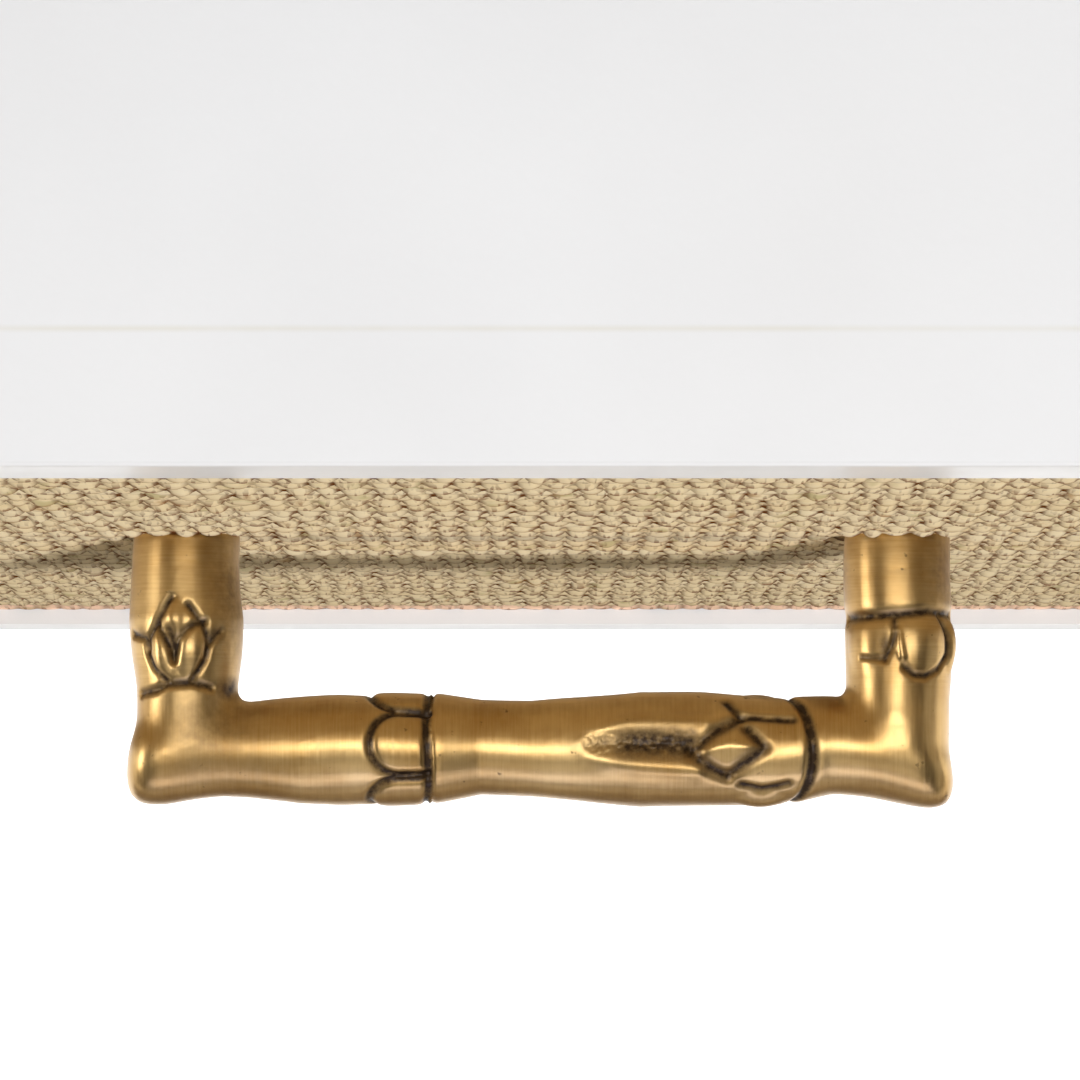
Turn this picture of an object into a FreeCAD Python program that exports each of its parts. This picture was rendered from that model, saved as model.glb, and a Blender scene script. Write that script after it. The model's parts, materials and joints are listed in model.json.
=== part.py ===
"""Campaign chest: white case with woven end panels, three long drawers and cast brass handles."""

import FreeCAD, Part
import Sketcher
import os
import re

# Driving sizes in mm
SIZES = {
    "case_width": 660,
    "case_depth": 430,
    "case_height": 545,
    "foot_height": 75,
    "end_thickness": 20.4,
    "rim_top": 27.5,
    "rim_bottom": 26,
    "stile_width": 27.5,
    "edge_round": 0.8,
    "weave_recess": 2.4,
    "weave_thickness": 1.8,
    "core_thickness": 14,
    "core_tongue": 8,
    "tongue_thickness": 6,
    "tenon_length": 16,
    "tenon_thickness": 8,
    "tenon_shoulder": 5,
    "outer_shoulder": 7,
    "divider_shoulder": 4,
    "rear_tenon_gap": 3.2,
    "tongue_shoulder": 5,
    "tongue_end_gap": 4,
    "top_thickness": 20.4,
    "bottom_thickness": 15,
    "back_thickness": 6,
    "back_rebate": 8,
    "divider_height": 18,
    "divider_depth": 105,
    "housing_depth": 6,
    "runner_width": 22,
    "runner_height": 16,
    "kicker_gap": 2,
    "drawer_gap": 2,
    "drawer_set_back": 0.5,
    "drawer_depth": 395,
    "drawer_rim": 16,
    "front_thickness": 20,
    "side_thickness": 12,
    "side_top_gap": 3,
    "running_gap": 0.3,
    "tail_count": 4,
    "tail_length": 12,
    "tail_tip": 22,
    "tail_root": 16,
    "tail_low_gap": 18,
    "tail_high_gap": 4,
    "drawer_back_inset": 10,
    "drawer_back_drop": 6,
    "drawer_bottom_thickness": 5,
    "drawer_bottom_height": 9,
    "groove_depth": 5,
    "groove_clearance": 0.1,
    "stop_width": 80,
    "stop_length": 80,
    "stop_height": 6,
    "stop_gap": 0.3,
    "foot_inset": 50,
    "foot_collar_radius": 27,
    "foot_collar_height": 13,
    "foot_neck_radius": 18,
    "foot_neck_height": 52,
    "foot_belly_radius": 35,
    "foot_cove_radius": 9.4,
    "foot_toe_radius": 15,
    "bolt_radius": 5,
    "bolt_in_foot": 30,
    "bolt_in_case": 24,
    "bolt_clearance": 0.1,
    "brass_arm_length": 68,
    "brass_arm_width": 19,
    "brass_thickness": 1.2,
    "handle_drop": 251,
    "pull_centres": 127,
    "pull_reach": 38.8,
    "pull_thickness": 19.7,
    "post_clearance": 0.3,
    "bud_radius": 8,
    "bud_offset": 2.6,
    "bud_count": 5,
    "bud_place": -26,
    "leaf_depth": 2,
    "leaf_rise": 0.5,
    "diamond_place": 33.4,
    "diamond_length": 12.8,
    "diamond_width": 9.2,
    "scar_start": 8,
    "scar_length": 18,
    "scar_tip_radius": 1.2,
    "scar_end_radius": 2.6,
    "scar_gap": 1.2,
    "screw_radius": 2.5,
    "screw_depth": 12,
    "screw_head_radius": 4.8,
    "screw_head_height": 3,
    "screw_clearance": 0.1,
    "drill_extra": 1,
    "back_screw_radius": 1.75,
    "back_screw_length": 18,
    "back_screw_head_radius": 3.6,
    "back_screw_head_height": 2.2,
    "back_screw_count": 5,
    "back_screw_inset": 20,
}

# Places worked out from the driving sizes
PLACES = {
    "half_width": "case_width / 2",
    "inner_half": "case_width / 2 - end_thickness",
    "case_low": "foot_height",
    "case_top": "foot_height + case_height",
    "bar_outer": "pull_thickness * 0.515",
    "post_foot_radius": "pull_thickness * 0.477",
    "pull_proud": "pull_reach + bar_outer - weave_recess - weave_thickness",
    "front_y": "(pull_proud - case_depth) / 2",
    "back_y": "(pull_proud + case_depth) / 2",
    "weave_seat": "weave_recess + weave_thickness",
    "core_back": "weave_seat + core_thickness",
    "tongue_near": "weave_seat + (core_thickness - tongue_thickness) / 2",
    "tongue_far": "tongue_near + tongue_thickness",
    "tenon_near": "(end_thickness - tenon_thickness) / 2",
    "tenon_far": "tenon_near + tenon_thickness",
    "rear_tenon_near": "back_thickness + rear_tenon_gap",
    "rear_tenon_far": "rear_tenon_near + tenon_thickness",
    "bay_height": "(case_height - rim_top - rim_bottom - 2 * divider_height) / 3",
    "bay_pitch": "bay_height + divider_height",
    "first_floor": "case_low + rim_bottom",
    "drawer_half": "inner_half - drawer_gap",
    "drawer_face": "front_y + drawer_set_back",
    "drawer_front_back": "drawer_face + front_thickness",
    "drawer_rear": "drawer_face + drawer_depth",
    "drawer_back_rear": "drawer_rear - drawer_back_inset",
    "drawer_back_front": "drawer_back_rear - side_thickness",
    "panel_underside": "first_floor - bottom_thickness",
    "handle_height": "case_top - handle_drop",
    "middle_y": "(front_y + back_y) / 2",
}

# The bamboo handle: distance along the bar from its middle, and radius there
LEFT_JOINT = [(-74, 4.5), (-73.3, 7.7), (-71.5, 9.5), (-68, 10.1), (-61.5, 9.5), (-52, 8.6),
              (-39, 9.45), (-29, 9.75), (-22.8, 9.55), (-20.6, 9.0)]
MIDDLE_JOINT = [(-20.6, 9.0), (-18.8, 9.6), (-11, 8.4), (-2, 8.2), (7, 9.0), (17.5, 10.0),
                (28.5, 9.9), (38, 9.65), (42.3, 9.5), (44.1, 9.0)]
RIGHT_JOINT = [(44.1, 9.0), (45.8, 9.5), (52, 8.65), (61.5, 9.4), (68, 10.1), (71.5, 9.5),
               (73.3, 7.7), (74, 4.5)]

# How a changed handle size carries through those lists
THICKNESS_SCALE = f"pull_thickness / {SIZES['pull_thickness']}"
LENGTH_SCALE = f"pull_centres / {SIZES['pull_centres']}"
REACH_SCALE = f"pull_reach / {SIZES['pull_reach']}"

# The two posts: distance out from the panel, and radius there
LEFT_POST = [(0, 9.4), (6, 9.5), (15.5, 10.2), (22, 9.9), (27.4, 9.3), (29.5, 9.5), (38.8, 9.1)]
RIGHT_POST = [(0, 9.4), (7, 9.3), (13, 9.5), (15.4, 9.1), (17.4, 9.6), (26, 9.6), (38.8, 9.1)]

# Leaves cast in relief on the posts: degrees round the post, distance out, half width, half length
TULIP = [(-26, 21.8, 2.4, 5.0), (8, 21.4, 2.6, 5.2), (-11, 15.8, 1.7, 3.6),
         (-56, 23.6, 2.2, 4.6), (36, 23.4, 2.2, 4.4)]
SHEATH = [(-47, 20.0, 5.0, 5.6), (30, 20.2, 5.8, 6.2)]

doc = FreeCAD.newDocument("campaign_chest")
nodes = {}


# Sheet and expressions
def fill_sheet():
    sheet = doc.addObject("Spreadsheet::Sheet", "Dims")
    for row, (name, value) in enumerate(SIZES.items(), start=1):
        sheet.set(f"A{row}", name)
        sheet.set(f"B{row}", str(value))
        sheet.setAlias(f"B{row}", name)
    doc.recompute()


def formula(text):
    """Turns plain size names into references to the sheet."""
    def swap(match):
        name = match.group(0)
        if name in PLACES:
            return "(" + formula(PLACES[name]) + ")"
        if name in SIZES:
            return "Dims." + name
        return name
    return re.sub(r"[a-z][a-z_]*", swap, str(text))


def bind(item, **texts):
    for prop, text in texts.items():
        item.setExpression(prop, formula(text))
    return item


def move(item, x=0, y=0, z=0, turn=None):
    if turn:
        item.Placement = FreeCAD.Placement(FreeCAD.Vector(), FreeCAD.Rotation(*turn))
    for side, text in zip("xyz", (x, y, z)):
        item.setExpression("Placement.Base." + side, formula(text))
    return item


# Plain solids and the ways they are joined
def box(name, x, y, z):
    solid = doc.addObject("Part::Box", name)
    for prop, (low, high) in zip(("Length", "Width", "Height"), (x, y, z)):
        solid.setExpression(prop, formula(f"({high}) - ({low})"))
    return move(solid, x[0], y[0], z[0])


def rod(name, radius, height, x, y, z, turn=None):
    solid = doc.addObject("Part::Cylinder", name)
    bind(solid, Radius=radius, Height=height)
    return move(solid, x, y, z, turn)


def fuse(name, *solids):
    result = doc.addObject("Part::MultiFuse", name)
    result.Shapes = list(solids)
    result.Refine = True
    return result


def group(name, solids):
    result = doc.addObject("Part::Compound", name)
    result.Links = list(solids)
    return result


def cut(name, base, *tools):
    result = doc.addObject("Part::Cut", name)
    result.Base = base
    result.Tool = tools[0] if len(tools) == 1 else group(name + "_cutters", tools)
    return result


def common(name, first, second):
    result = doc.addObject("Part::Common", name)
    result.Base = first
    result.Tool = second
    return result


def link(name, source, x=0, y=0, z=0, turn=None):
    result = doc.addObject("App::Link", name)
    result.LinkedObject = source
    return move(result, x, y, z, turn)


def node(name, item):
    nodes[name] = item
    return item


ALONG_X = ((0, 1, 0), 90)
AGAINST_X = ((0, 1, 0), -90)
ALONG_Y = ((1, 0, 0), -90)
AGAINST_Y = ((1, 0, 0), 90)


def turned(axis_and_angle):
    axis, angle = axis_and_angle
    return FreeCAD.Vector(*axis), angle


# Case block with rounded outer edges, and the corner brasses let into it
def case_block():
    body = doc.addObject("PartDesign::Body", "case_block")
    sketch = body.newObject("Sketcher::SketchObject", "case_outline")
    sketch.AttachmentSupport = (body.Origin.OriginFeatures[3], [""])
    sketch.MapMode = "FlatFace"
    corners = [(-1, -1), (1, -1), (1, 1), (-1, 1)]
    half = SIZES["case_width"] / 2, SIZES["case_depth"] / 2
    points = [FreeCAD.Vector(a * half[0], b * half[1], 0) for a, b in corners]
    for i in range(4):
        sketch.addGeometry(Part.LineSegment(points[i], points[(i + 1) % 4]))
    for i in range(4):
        sketch.addConstraint(Sketcher.Constraint("Coincident", i, 2, (i + 1) % 4, 1))
        flat = "Horizontal" if i % 2 == 0 else "Vertical"
        sketch.addConstraint(Sketcher.Constraint(flat, i))
    sketch.addConstraint(Sketcher.Constraint("Symmetric", 0, 1, 2, 1, -1, 1))
    for edge, name in ((0, "case_width"), (1, "case_depth")):
        size = points[edge].distanceToPoint(points[edge + 1])
        kind = "DistanceX" if edge == 0 else "DistanceY"
        index = sketch.addConstraint(Sketcher.Constraint(kind, edge, 1, edge, 2, size))
        sketch.renameConstraint(index, name)
        sketch.setExpression("Constraints." + name, formula(name))
    pad = body.newObject("PartDesign::Pad", "case_pad")
    pad.Profile = sketch
    bind(pad, Length="case_height")
    doc.recompute()
    rounds = body.newObject("PartDesign::Fillet", "case_edges")
    rounds.Base = (pad, [f"Edge{i + 1}" for i in range(len(pad.Shape.Edges))])
    bind(rounds, Radius="edge_round")
    move(body, 0, "middle_y", "case_low")
    return body


def corner_blank(name, sx, sy, top):
    """Three L-shaped leaves that wrap one corner of the case."""
    arm, width, thick = "brass_arm_length", "brass_arm_width", "brass_thickness"

    def span(sign, edge, near, far):
        if sign > 0:
            return f"{edge} - {far}", f"{edge} - {near}"
        return f"{edge} + {near}", f"{edge} + {far}"

    edge_x = "half_width" if sx > 0 else "-half_width"
    edge_y = "back_y" if sy > 0 else "front_y"
    edge_z = "case_top" if top > 0 else "case_low"

    def leaf(tag, x, y, z):
        return box(name + tag, span(sx, edge_x, 0, x), span(sy, edge_y, 0, y), span(top, edge_z, 0, z))

    leaves = [
        leaf("_top_along", arm, width, thick),
        leaf("_top_across", width, arm, thick),
        leaf("_front_along", arm, thick, width),
        leaf("_front_down", width, thick, arm),
        leaf("_end_across", thick, arm, width),
        leaf("_end_down", thick, width, arm),
    ]
    return fuse(name + "_leaves", *leaves)


def corner_brasses(block):
    rows = {}
    for top, row in ((1, "top"), (-1, "bottom")):
        rows[row] = []
        for sx, side in ((-1, "left"), (1, "right")):
            for sy, depth in ((-1, "front"), (1, "rear")):
                name = f"{depth}_{side}_{row}"
                rows[row].append(common(name + "_brass", corner_blank(name, sx, sy, top), block))
        node(row + "_corner_brasses", group(row + "_corner_brasses", rows[row]))
    return rows["top"] + rows["bottom"]


# Frames and panels of the two ends
def end_span(sign, near, far):
    """Range in X at a depth behind the outer face of one end."""
    if sign > 0:
        return f"half_width - ({far})", f"half_width - ({near})"
    return f"-half_width + ({near})", f"-half_width + ({far})"


def case_board(name, shell, x, y, z):
    return common(name + "_board", box(name + "_blank", x, y, z), shell)


def end_rail(name, shell, sign, z_low, z_high):
    x = end_span(sign, 0, "end_thickness")
    y = ("front_y + stile_width", "back_y - stile_width")
    board = case_board(name, shell, x, y, (z_low, z_high))
    tenon = box(name + "_tenon", end_span(sign, "tenon_near", "tenon_far"),
                ("front_y + stile_width - tenon_length", "back_y - stile_width + tenon_length"),
                (f"{z_low} + tenon_shoulder", f"{z_high} - tenon_shoulder"))
    return fuse(name + "_whole", board, tenon)


def end_core(name, sign):
    y = ("front_y + stile_width", "back_y - stile_width")
    z = ("case_low + rim_bottom", "case_top - rim_top")
    panel = box(name + "_panel", end_span(sign, "weave_seat", "core_back"), y, z)
    tongue = box(name + "_tongue", end_span(sign, "tongue_near", "tongue_far"),
                 (f"{y[0]} - core_tongue", f"{y[1]} + core_tongue"),
                 (f"{z[0]} - core_tongue", f"{z[1]} + core_tongue"))
    return fuse(name + "_whole", panel, tongue)


def end_weave(name, sign, holes):
    y = ("front_y + stile_width", "back_y - stile_width")
    z = ("case_low + rim_bottom", "case_top - rim_top")
    plate = box(name + "_plate", end_span(sign, "weave_recess", "weave_seat"), y, z)
    return node(name, cut(name, plate, *holes))


def post_holes(name, sign):
    """Holes through one end for the two handle posts and their screws."""
    wide, narrow = [], []
    for place, tag in ((-1, "a"), (1, "b")):
        y = f"middle_y + {place} * pull_centres / 2"
        start = f"{sign} * half_width - end_thickness * {1 if sign > 0 else 0}"
        wide.append(rod(f"{name}_post_{tag}", "post_foot_radius + post_clearance",
                        "end_thickness", start, y, "handle_height", turned(ALONG_X)))
        narrow.append(rod(f"{name}_way_{tag}", "screw_radius + screw_clearance",
                          "end_thickness", start, y, "handle_height", turned(ALONG_X)))
    return wide, narrow


# Cast bamboo handle
def swept(name, sections, along_bar, x="0"):
    """Loft through circles along the bar or along one post."""
    rings = []
    for i, (place, radius) in enumerate(sections):
        ring = doc.addObject("Part::Circle", f"{name}_ring_{i}")
        bind(ring, Radius=f"{radius} * {THICKNESS_SCALE}")
        if along_bar:
            move(ring, f"{place} * {LENGTH_SCALE}", "-pull_reach", 0, turned(ALONG_X))
        else:
            move(ring, x, f"-{place} * {REACH_SCALE}", 0, turned(AGAINST_Y))
        rings.append(ring)
    loft = doc.addObject("Part::Loft", name)
    loft.Sections = rings
    loft.Solid = True
    return loft


def buds():
    """Round bud scales in a ring beside the left joint."""
    scales = []
    for i in range(int(SIZES["bud_count"])):
        scale = doc.addObject("Part::Sphere", f"bud_{i}")
        bind(scale, Radius="bud_radius")
        angle = f"(90 + {i} * 360 / bud_count) * 1deg"
        scales.append(move(scale, "bud_place", f"-pull_reach + bud_offset * cos({angle})",
                           f"bud_offset * sin({angle})"))
    return scales


def leaf(name, depth, width, length, centre, turn):
    """Flat oval leaf that stands a little proud of a round."""
    made = doc.addObject("Part::Ellipsoid", name)
    bind(made, Radius1=depth, Radius2=width, Radius3=length)
    return move(made, *centre, turn)


def post_leaves(name, leaves, side):
    """Leaves of one post, above and again below."""
    made = []
    depth = "(pull_thickness / 2 + leaf_rise - leaf_depth)"
    for half in (0, 180):
        for i, (angle, out, width, length) in enumerate(leaves):
            turn = angle + half
            centre = (f"{side} * pull_centres / 2 + {depth} * sin({turn} * 1deg)", f"-{out} * {REACH_SCALE}",
                      f"{depth} * cos({turn} * 1deg)")
            lean = turned(((0, 1, 0), turn))
            made.append(leaf(f"{name}_{half}_{i}", "leaf_depth", width, length, centre, lean))
    return made


def diamond_buds():
    """Pointed bud on the bar, above and again below."""
    depth = "(pull_thickness / 2 + leaf_rise - leaf_depth)"
    return [leaf(f"diamond_{i}", "leaf_depth", "diamond_length / 2", "diamond_width / 2",
                 (f"diamond_place * {LENGTH_SCALE}", "-pull_reach", f"{side} * {depth}"), None)
            for i, side in enumerate((1, -1))]


def leaf_scars():
    """Scoop that runs out along the bar from each diamond bud."""
    scars = []
    for i, side in enumerate((1, -1)):
        scoop = doc.addObject("Part::Cone", f"leaf_scar_{i}")
        bind(scoop, Radius1="scar_tip_radius", Radius2="scar_end_radius", Height="scar_length")
        height = f"{side} * (pull_thickness / 2 + scar_gap)"
        scars.append(move(scoop, f"scar_start * {LENGTH_SCALE}", "-pull_reach", height, turned(ALONG_X)))
    return scars


def bamboo_pull():
    parts = [
        swept("left_cane", LEFT_JOINT, True),
        swept("middle_cane", MIDDLE_JOINT, True),
        swept("right_cane", RIGHT_JOINT, True),
        swept("left_post", LEFT_POST, False, "-pull_centres / 2"),
        swept("right_post", RIGHT_POST, False, "pull_centres / 2"),
    ]
    parts += buds()
    parts += post_leaves("tulip", TULIP, -1)
    parts += post_leaves("sheath", SHEATH, 1)
    parts += diamond_buds()
    solid = fuse("pull_casting", *parts)
    bores = [rod(f"pull_bore_{i}", "screw_radius + screw_clearance", "screw_depth + drill_extra",
                 f"{side} * pull_centres / 2", 0, 0, turned(AGAINST_Y))
             for i, side in enumerate((-1, 1))]
    return cut("pull_master", solid, *bores, *leaf_scars())


def pull_screw(through):
    """Machine screw along -Y: its head bears on the inner face of the board."""
    shank = rod(f"screw_shank_{through}", "screw_radius", f"{through} + screw_depth",
                0, through, 0, turned(AGAINST_Y))
    head = rod(f"screw_head_{through}", "screw_head_radius", "screw_head_height",
               0, through, 0, turned(ALONG_Y))
    return fuse(f"screw_{through}", shank, head)


# Drawers
def drawer_side(name, sign, floor, groove, back):
    x = ("drawer_half - side_thickness", "drawer_half")
    if sign < 0:
        x = ("-drawer_half", "-drawer_half + side_thickness")
    low, high = f"{floor} + running_gap", f"{floor} + bay_height - side_top_gap"
    parts = [box(name + "_plain", x, ("drawer_front_back", "drawer_rear"), (low, high))]
    count = int(SIZES["tail_count"])
    for i in range(count):
        tail = doc.addObject("Part::Wedge", f"{name}_tail_{i}")
        bind(tail, Xmin=0, Xmax="side_thickness", X2min=0, X2max="side_thickness",
             Ymin="-tail_length", Ymax=0, Zmin="-tail_tip / 2", Zmax="tail_tip / 2",
             Z2min="-tail_root / 2", Z2max="tail_root / 2")
        room = "(bay_height - tail_low_gap - tail_high_gap)"
        middle = f"{low} + tail_low_gap + {room} * ({i} + 0.5) / tail_count"
        parts.append(move(tail, x[0], "drawer_front_back", middle))
    return node(name, cut(name, fuse(name + "_tails", *parts), groove, back))


def drawer(label, number, pull, screw):
    floor = f"(first_floor + {number} * bay_pitch)"
    low, high = f"{floor} + drawer_gap", f"{floor} + bay_height - drawer_gap"
    middle = f"{floor} + bay_height / 2"

    def named(piece):
        return f"{label}_drawer_{piece}"

    inside = "drawer_half - side_thickness"
    shelf = (f"{floor} + drawer_bottom_height", f"{floor} + drawer_bottom_height + drawer_bottom_thickness")
    bottom = node(named("bottom"), box(
        named("bottom"), (f"-({inside} + groove_depth)", f"{inside} + groove_depth"),
        ("drawer_front_back - groove_depth", "drawer_back_front + groove_depth"), shelf))
    reach = f"{inside} + groove_depth + groove_clearance"
    groove = box(named("groove"), (f"-({reach})", reach),
                 ("drawer_front_back - groove_depth - groove_clearance",
                  "drawer_back_front + groove_depth + groove_clearance"),
                 (f"{shelf[0]} - groove_clearance", f"{shelf[1]} + groove_clearance"))
    rear = box(named("rear_board"), (f"-({inside} + groove_depth)", f"{inside} + groove_depth"),
               ("drawer_back_front", "drawer_back_rear"),
               (low, f"{floor} + bay_height - side_top_gap - drawer_back_drop"))
    back = node(named("back"), cut(named("back"), rear, groove))
    sides = [drawer_side(named(side + "_side"), sign, floor, groove, rear)
             for side, sign in (("left", -1), ("right", 1))]

    face = box(named("face"), ("-drawer_half", "drawer_half"),
               ("drawer_face", "drawer_front_back"), (low, high))
    field_x = ("-drawer_half + drawer_rim", "drawer_half - drawer_rim")
    field_z = (f"{low} + drawer_rim", f"{high} - drawer_rim")
    field = box(named("field"), field_x, ("drawer_face", "drawer_face + weave_seat"), field_z)
    posts, ways = [], []
    for i, side in enumerate((-1, 1)):
        place = (f"{side} * pull_centres / 2", "drawer_face", middle)
        posts.append(rod(named(f"post_{i}"), "post_foot_radius + post_clearance",
                         "weave_seat", *place, turned(ALONG_Y)))
        ways.append(rod(named(f"way_{i}"), "screw_radius + screw_clearance",
                        "front_thickness", *place, turned(ALONG_Y)))
    node(named("front"), cut(named("front"), face, field, groove, *sides, *ways))
    plate = box(named("weave_plate"), field_x,
                ("drawer_face + weave_recess", "drawer_face + weave_seat"), field_z)
    node(named("weave"), cut(named("weave"), plate, *posts))
    node(named("pull"), link(named("pull"), pull, 0, "drawer_face + weave_seat", middle))
    pair = [link(named(f"screw_{i}"), screw, f"{side} * pull_centres / 2", "drawer_face + weave_seat", middle)
            for i, side in enumerate((-1, 1))]
    node(named("pull_screws"), group(named("pull_screws"), pair))


# Turned feet
def foot_master():
    body = doc.addObject("PartDesign::Body", "foot_body")
    sketch = body.newObject("Sketcher::SketchObject", "foot_profile")
    sketch.AttachmentSupport = (body.Origin.OriginFeatures[4], [""])
    sketch.MapMode = "FlatFace"
    size = SIZES
    collar_low = size["foot_height"] - size["foot_collar_height"]
    points = [(0, 0), (size["foot_toe_radius"], 0), (size["foot_neck_radius"], size["foot_neck_height"]),
              (size["foot_collar_radius"], collar_low), (size["foot_collar_radius"], size["foot_height"]),
              (0, size["foot_height"])]
    points = [FreeCAD.Vector(r, h, 0) for r, h in points]
    belly = FreeCAD.Vector(size["foot_toe_radius"] + 13, size["foot_neck_height"] * 0.46, 0)
    cove = FreeCAD.Vector(size["foot_neck_radius"] + 2.5, collar_low - 3, 0)
    curves = [Part.LineSegment(points[0], points[1]), Part.Arc(points[1], belly, points[2]),
              Part.Arc(points[2], cove, points[3]), Part.LineSegment(points[3], points[4]),
              Part.LineSegment(points[4], points[5]), Part.LineSegment(points[5], points[0])]
    for curve in curves:
        sketch.addGeometry(curve)
    starts = [nearest_end(sketch, i, points[i]) for i in range(6)]
    for i in range(6):
        after = (i + 1) % 6
        sketch.addConstraint(Sketcher.Constraint("Coincident", i, 3 - starts[i], after, starts[after]))
    sketch.addConstraint(Sketcher.Constraint("Coincident", 0, 1, -1, 1))
    sketch.addConstraint(Sketcher.Constraint("Horizontal", 0))
    sketch.addConstraint(Sketcher.Constraint("Vertical", 3))
    sketch.addConstraint(Sketcher.Constraint("Horizontal", 4))
    sketch.addConstraint(Sketcher.Constraint("Vertical", 5))
    neck = starts[2]
    bound = [
        ("DistanceX", 0, 1, 0, 2, "foot_toe_radius"),
        ("DistanceX", 5, 2, 2, neck, "foot_neck_radius"),
        ("DistanceY", 0, 2, 2, neck, "foot_neck_height"),
        ("DistanceY", 3, 1, 3, 2, "foot_collar_height"),
        ("DistanceX", 4, 2, 4, 1, "foot_collar_radius"),
        ("DistanceY", 5, 2, 5, 1, "foot_height"),
    ]
    for kind, *ends, name in bound:
        index = sketch.addConstraint(Sketcher.Constraint(kind, *ends, size[name]))
        sketch.renameConstraint(index, name)
        sketch.setExpression("Constraints." + name, formula(name))
    for edge, name in ((1, "foot_belly_radius"), (2, "foot_cove_radius")):
        index = sketch.addConstraint(Sketcher.Constraint("Radius", edge, size[name]))
        sketch.renameConstraint(index, name)
        sketch.setExpression("Constraints." + name, formula(name))
    turning = body.newObject("PartDesign::Revolution", "foot_turning")
    turning.Profile = sketch
    turning.ReferenceAxis = (sketch, ["V_Axis"])
    turning.Angle = 360
    hole = rod("foot_hole", "bolt_radius + bolt_clearance", "bolt_in_foot + drill_extra",
               0, 0, "foot_height - bolt_in_foot - drill_extra")
    return cut("foot_master", body, hole)


def nearest_end(sketch, edge, point):
    """Which end of a sketch edge lies at the point: 1 for its start, 2 for its end."""
    gaps = [sketch.getPoint(edge, end).distanceToPoint(point) for end in (1, 2)]
    return 1 if gaps[0] < gaps[1] else 2


def foot_places():
    for side, sx in (("left", -1), ("right", 1)):
        for depth, y in (("front", "front_y + foot_inset"), ("rear", "back_y - foot_inset")):
            yield f"{depth}_{side}", f"{sx} * (half_width - foot_inset)", y


def feet():
    master = foot_master()
    bolt = rod("bolt_master", "bolt_radius", "bolt_in_foot + bolt_in_case", 0, 0, 0)
    bolts, blocks, holes = [], [], []
    for name, x, y in foot_places():
        node(name + "_foot", link(name + "_foot", master, x, y))
        bolts.append(link(name + "_bolt", bolt, x, y, "foot_height - bolt_in_foot"))
        hole = rod(name + "_bolt_way", "bolt_radius + bolt_clearance",
                   "bolt_in_case + drill_extra", x, y, "case_low")
        half = "(foot_inset - end_thickness)"
        blank = box(name + "_block_blank", (f"{x} - {half}", f"{x} + {half}"),
                    (f"{y} - {half}", f"{y} + {half}"), ("case_low", "panel_underside"))
        blocks.append(cut(name + "_block", blank, hole))
        holes.append(hole)
    node("foot_bolts", group("foot_bolts", bolts))
    node("foot_blocks", group("foot_blocks", blocks))
    return holes


# Case
def cross_rail(name, shell, y, z, tenon_y, tenon_z):
    """Rail between the two ends with a tenon at each end."""
    board = case_board(name, shell, ("-inner_half", "inner_half"), y, z)
    tenon = box(name + "_tenon", ("-inner_half - housing_depth", "inner_half + housing_depth"),
                tenon_y, tenon_z)
    return node(name, fuse(name, board, tenon))


def back_board():
    return box("back_board", ("-inner_half - back_rebate", "inner_half + back_rebate"),
               ("back_y - back_thickness", "back_y"),
               ("first_floor - back_rebate", "case_top - top_thickness + back_rebate"))


def back_screws():
    screws = []
    rows = [("first_floor - back_rebate / 2", "low"), ("case_top - top_thickness + back_rebate / 2", "high")]
    for z, tag in rows:
        for i in range(int(SIZES["back_screw_count"])):
            x = f"(half_width - brass_arm_length - back_screw_inset) * (2 * {i} / (back_screw_count - 1) - 1)"
            shank = rod(f"back_shank_{tag}_{i}", "back_screw_radius", "back_screw_length",
                        x, "back_y", z, turned(AGAINST_Y))
            head = rod(f"back_head_{tag}_{i}", "back_screw_head_radius", "back_screw_head_height",
                       x, "back_y - back_screw_head_height", z, turned(ALONG_Y))
            screws.append(fuse(f"back_screw_{tag}_{i}", shank, head))
    return screws


# Range of the tongues and tenons that enter both ends
HOUSED = ("-inner_half - housing_depth", "inner_half + housing_depth")
BETWEEN_ENDS = ("-inner_half", "inner_half")
TONGUE_DEPTH = ("front_y + stile_width + tongue_end_gap", "back_y - stile_width - tongue_end_gap")


def front_frame(shell):
    """Rails and dividers across the front, each tenoned into both ends."""
    tenon_y = ("front_y + tenon_near", "front_y + tenon_far")
    depth = ("front_y", "front_y + end_thickness")
    rails = [
        cross_rail("front_top_rail", shell, depth, ("case_top - rim_top", "case_top"),
                   tenon_y, ("case_top - rim_top + tenon_shoulder", "case_top - outer_shoulder")),
        cross_rail("front_bottom_rail", shell, depth, ("case_low", "first_floor"),
                   tenon_y, ("case_low + outer_shoulder", "first_floor - tenon_shoulder")),
    ]
    for number, label in ((1, "lower"), (2, "upper")):
        floor = f"(first_floor + {number} * bay_pitch)"
        low = f"{floor} - divider_height"
        rails.append(cross_rail(label + "_divider", shell, ("front_y", "front_y + divider_depth"),
                                (low, floor), tenon_y,
                                (f"{low} + divider_shoulder", f"{floor} - divider_shoulder")))
    return rails


def rear_rail(shell):
    board = case_board("rear_rail", shell, BETWEEN_ENDS, ("back_y - end_thickness", "back_y"),
                       ("case_low", "first_floor"))
    tenon = box("rear_rail_tenon", HOUSED, ("back_y - rear_tenon_far", "back_y - rear_tenon_near"),
                ("case_low + outer_shoulder", "first_floor - back_rebate - drawer_gap"))
    return fuse("rear_rail_whole", board, tenon)


def top_board(shell):
    board = case_board("top", shell, BETWEEN_ENDS, ("front_y + end_thickness", "back_y"),
                       ("case_top - top_thickness", "case_top"))
    tongue = box("top_tongue", HOUSED, TONGUE_DEPTH,
                 ("case_top - top_thickness + tongue_shoulder", "case_top - outer_shoulder"))
    return fuse("top_whole", board, tongue)


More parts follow.
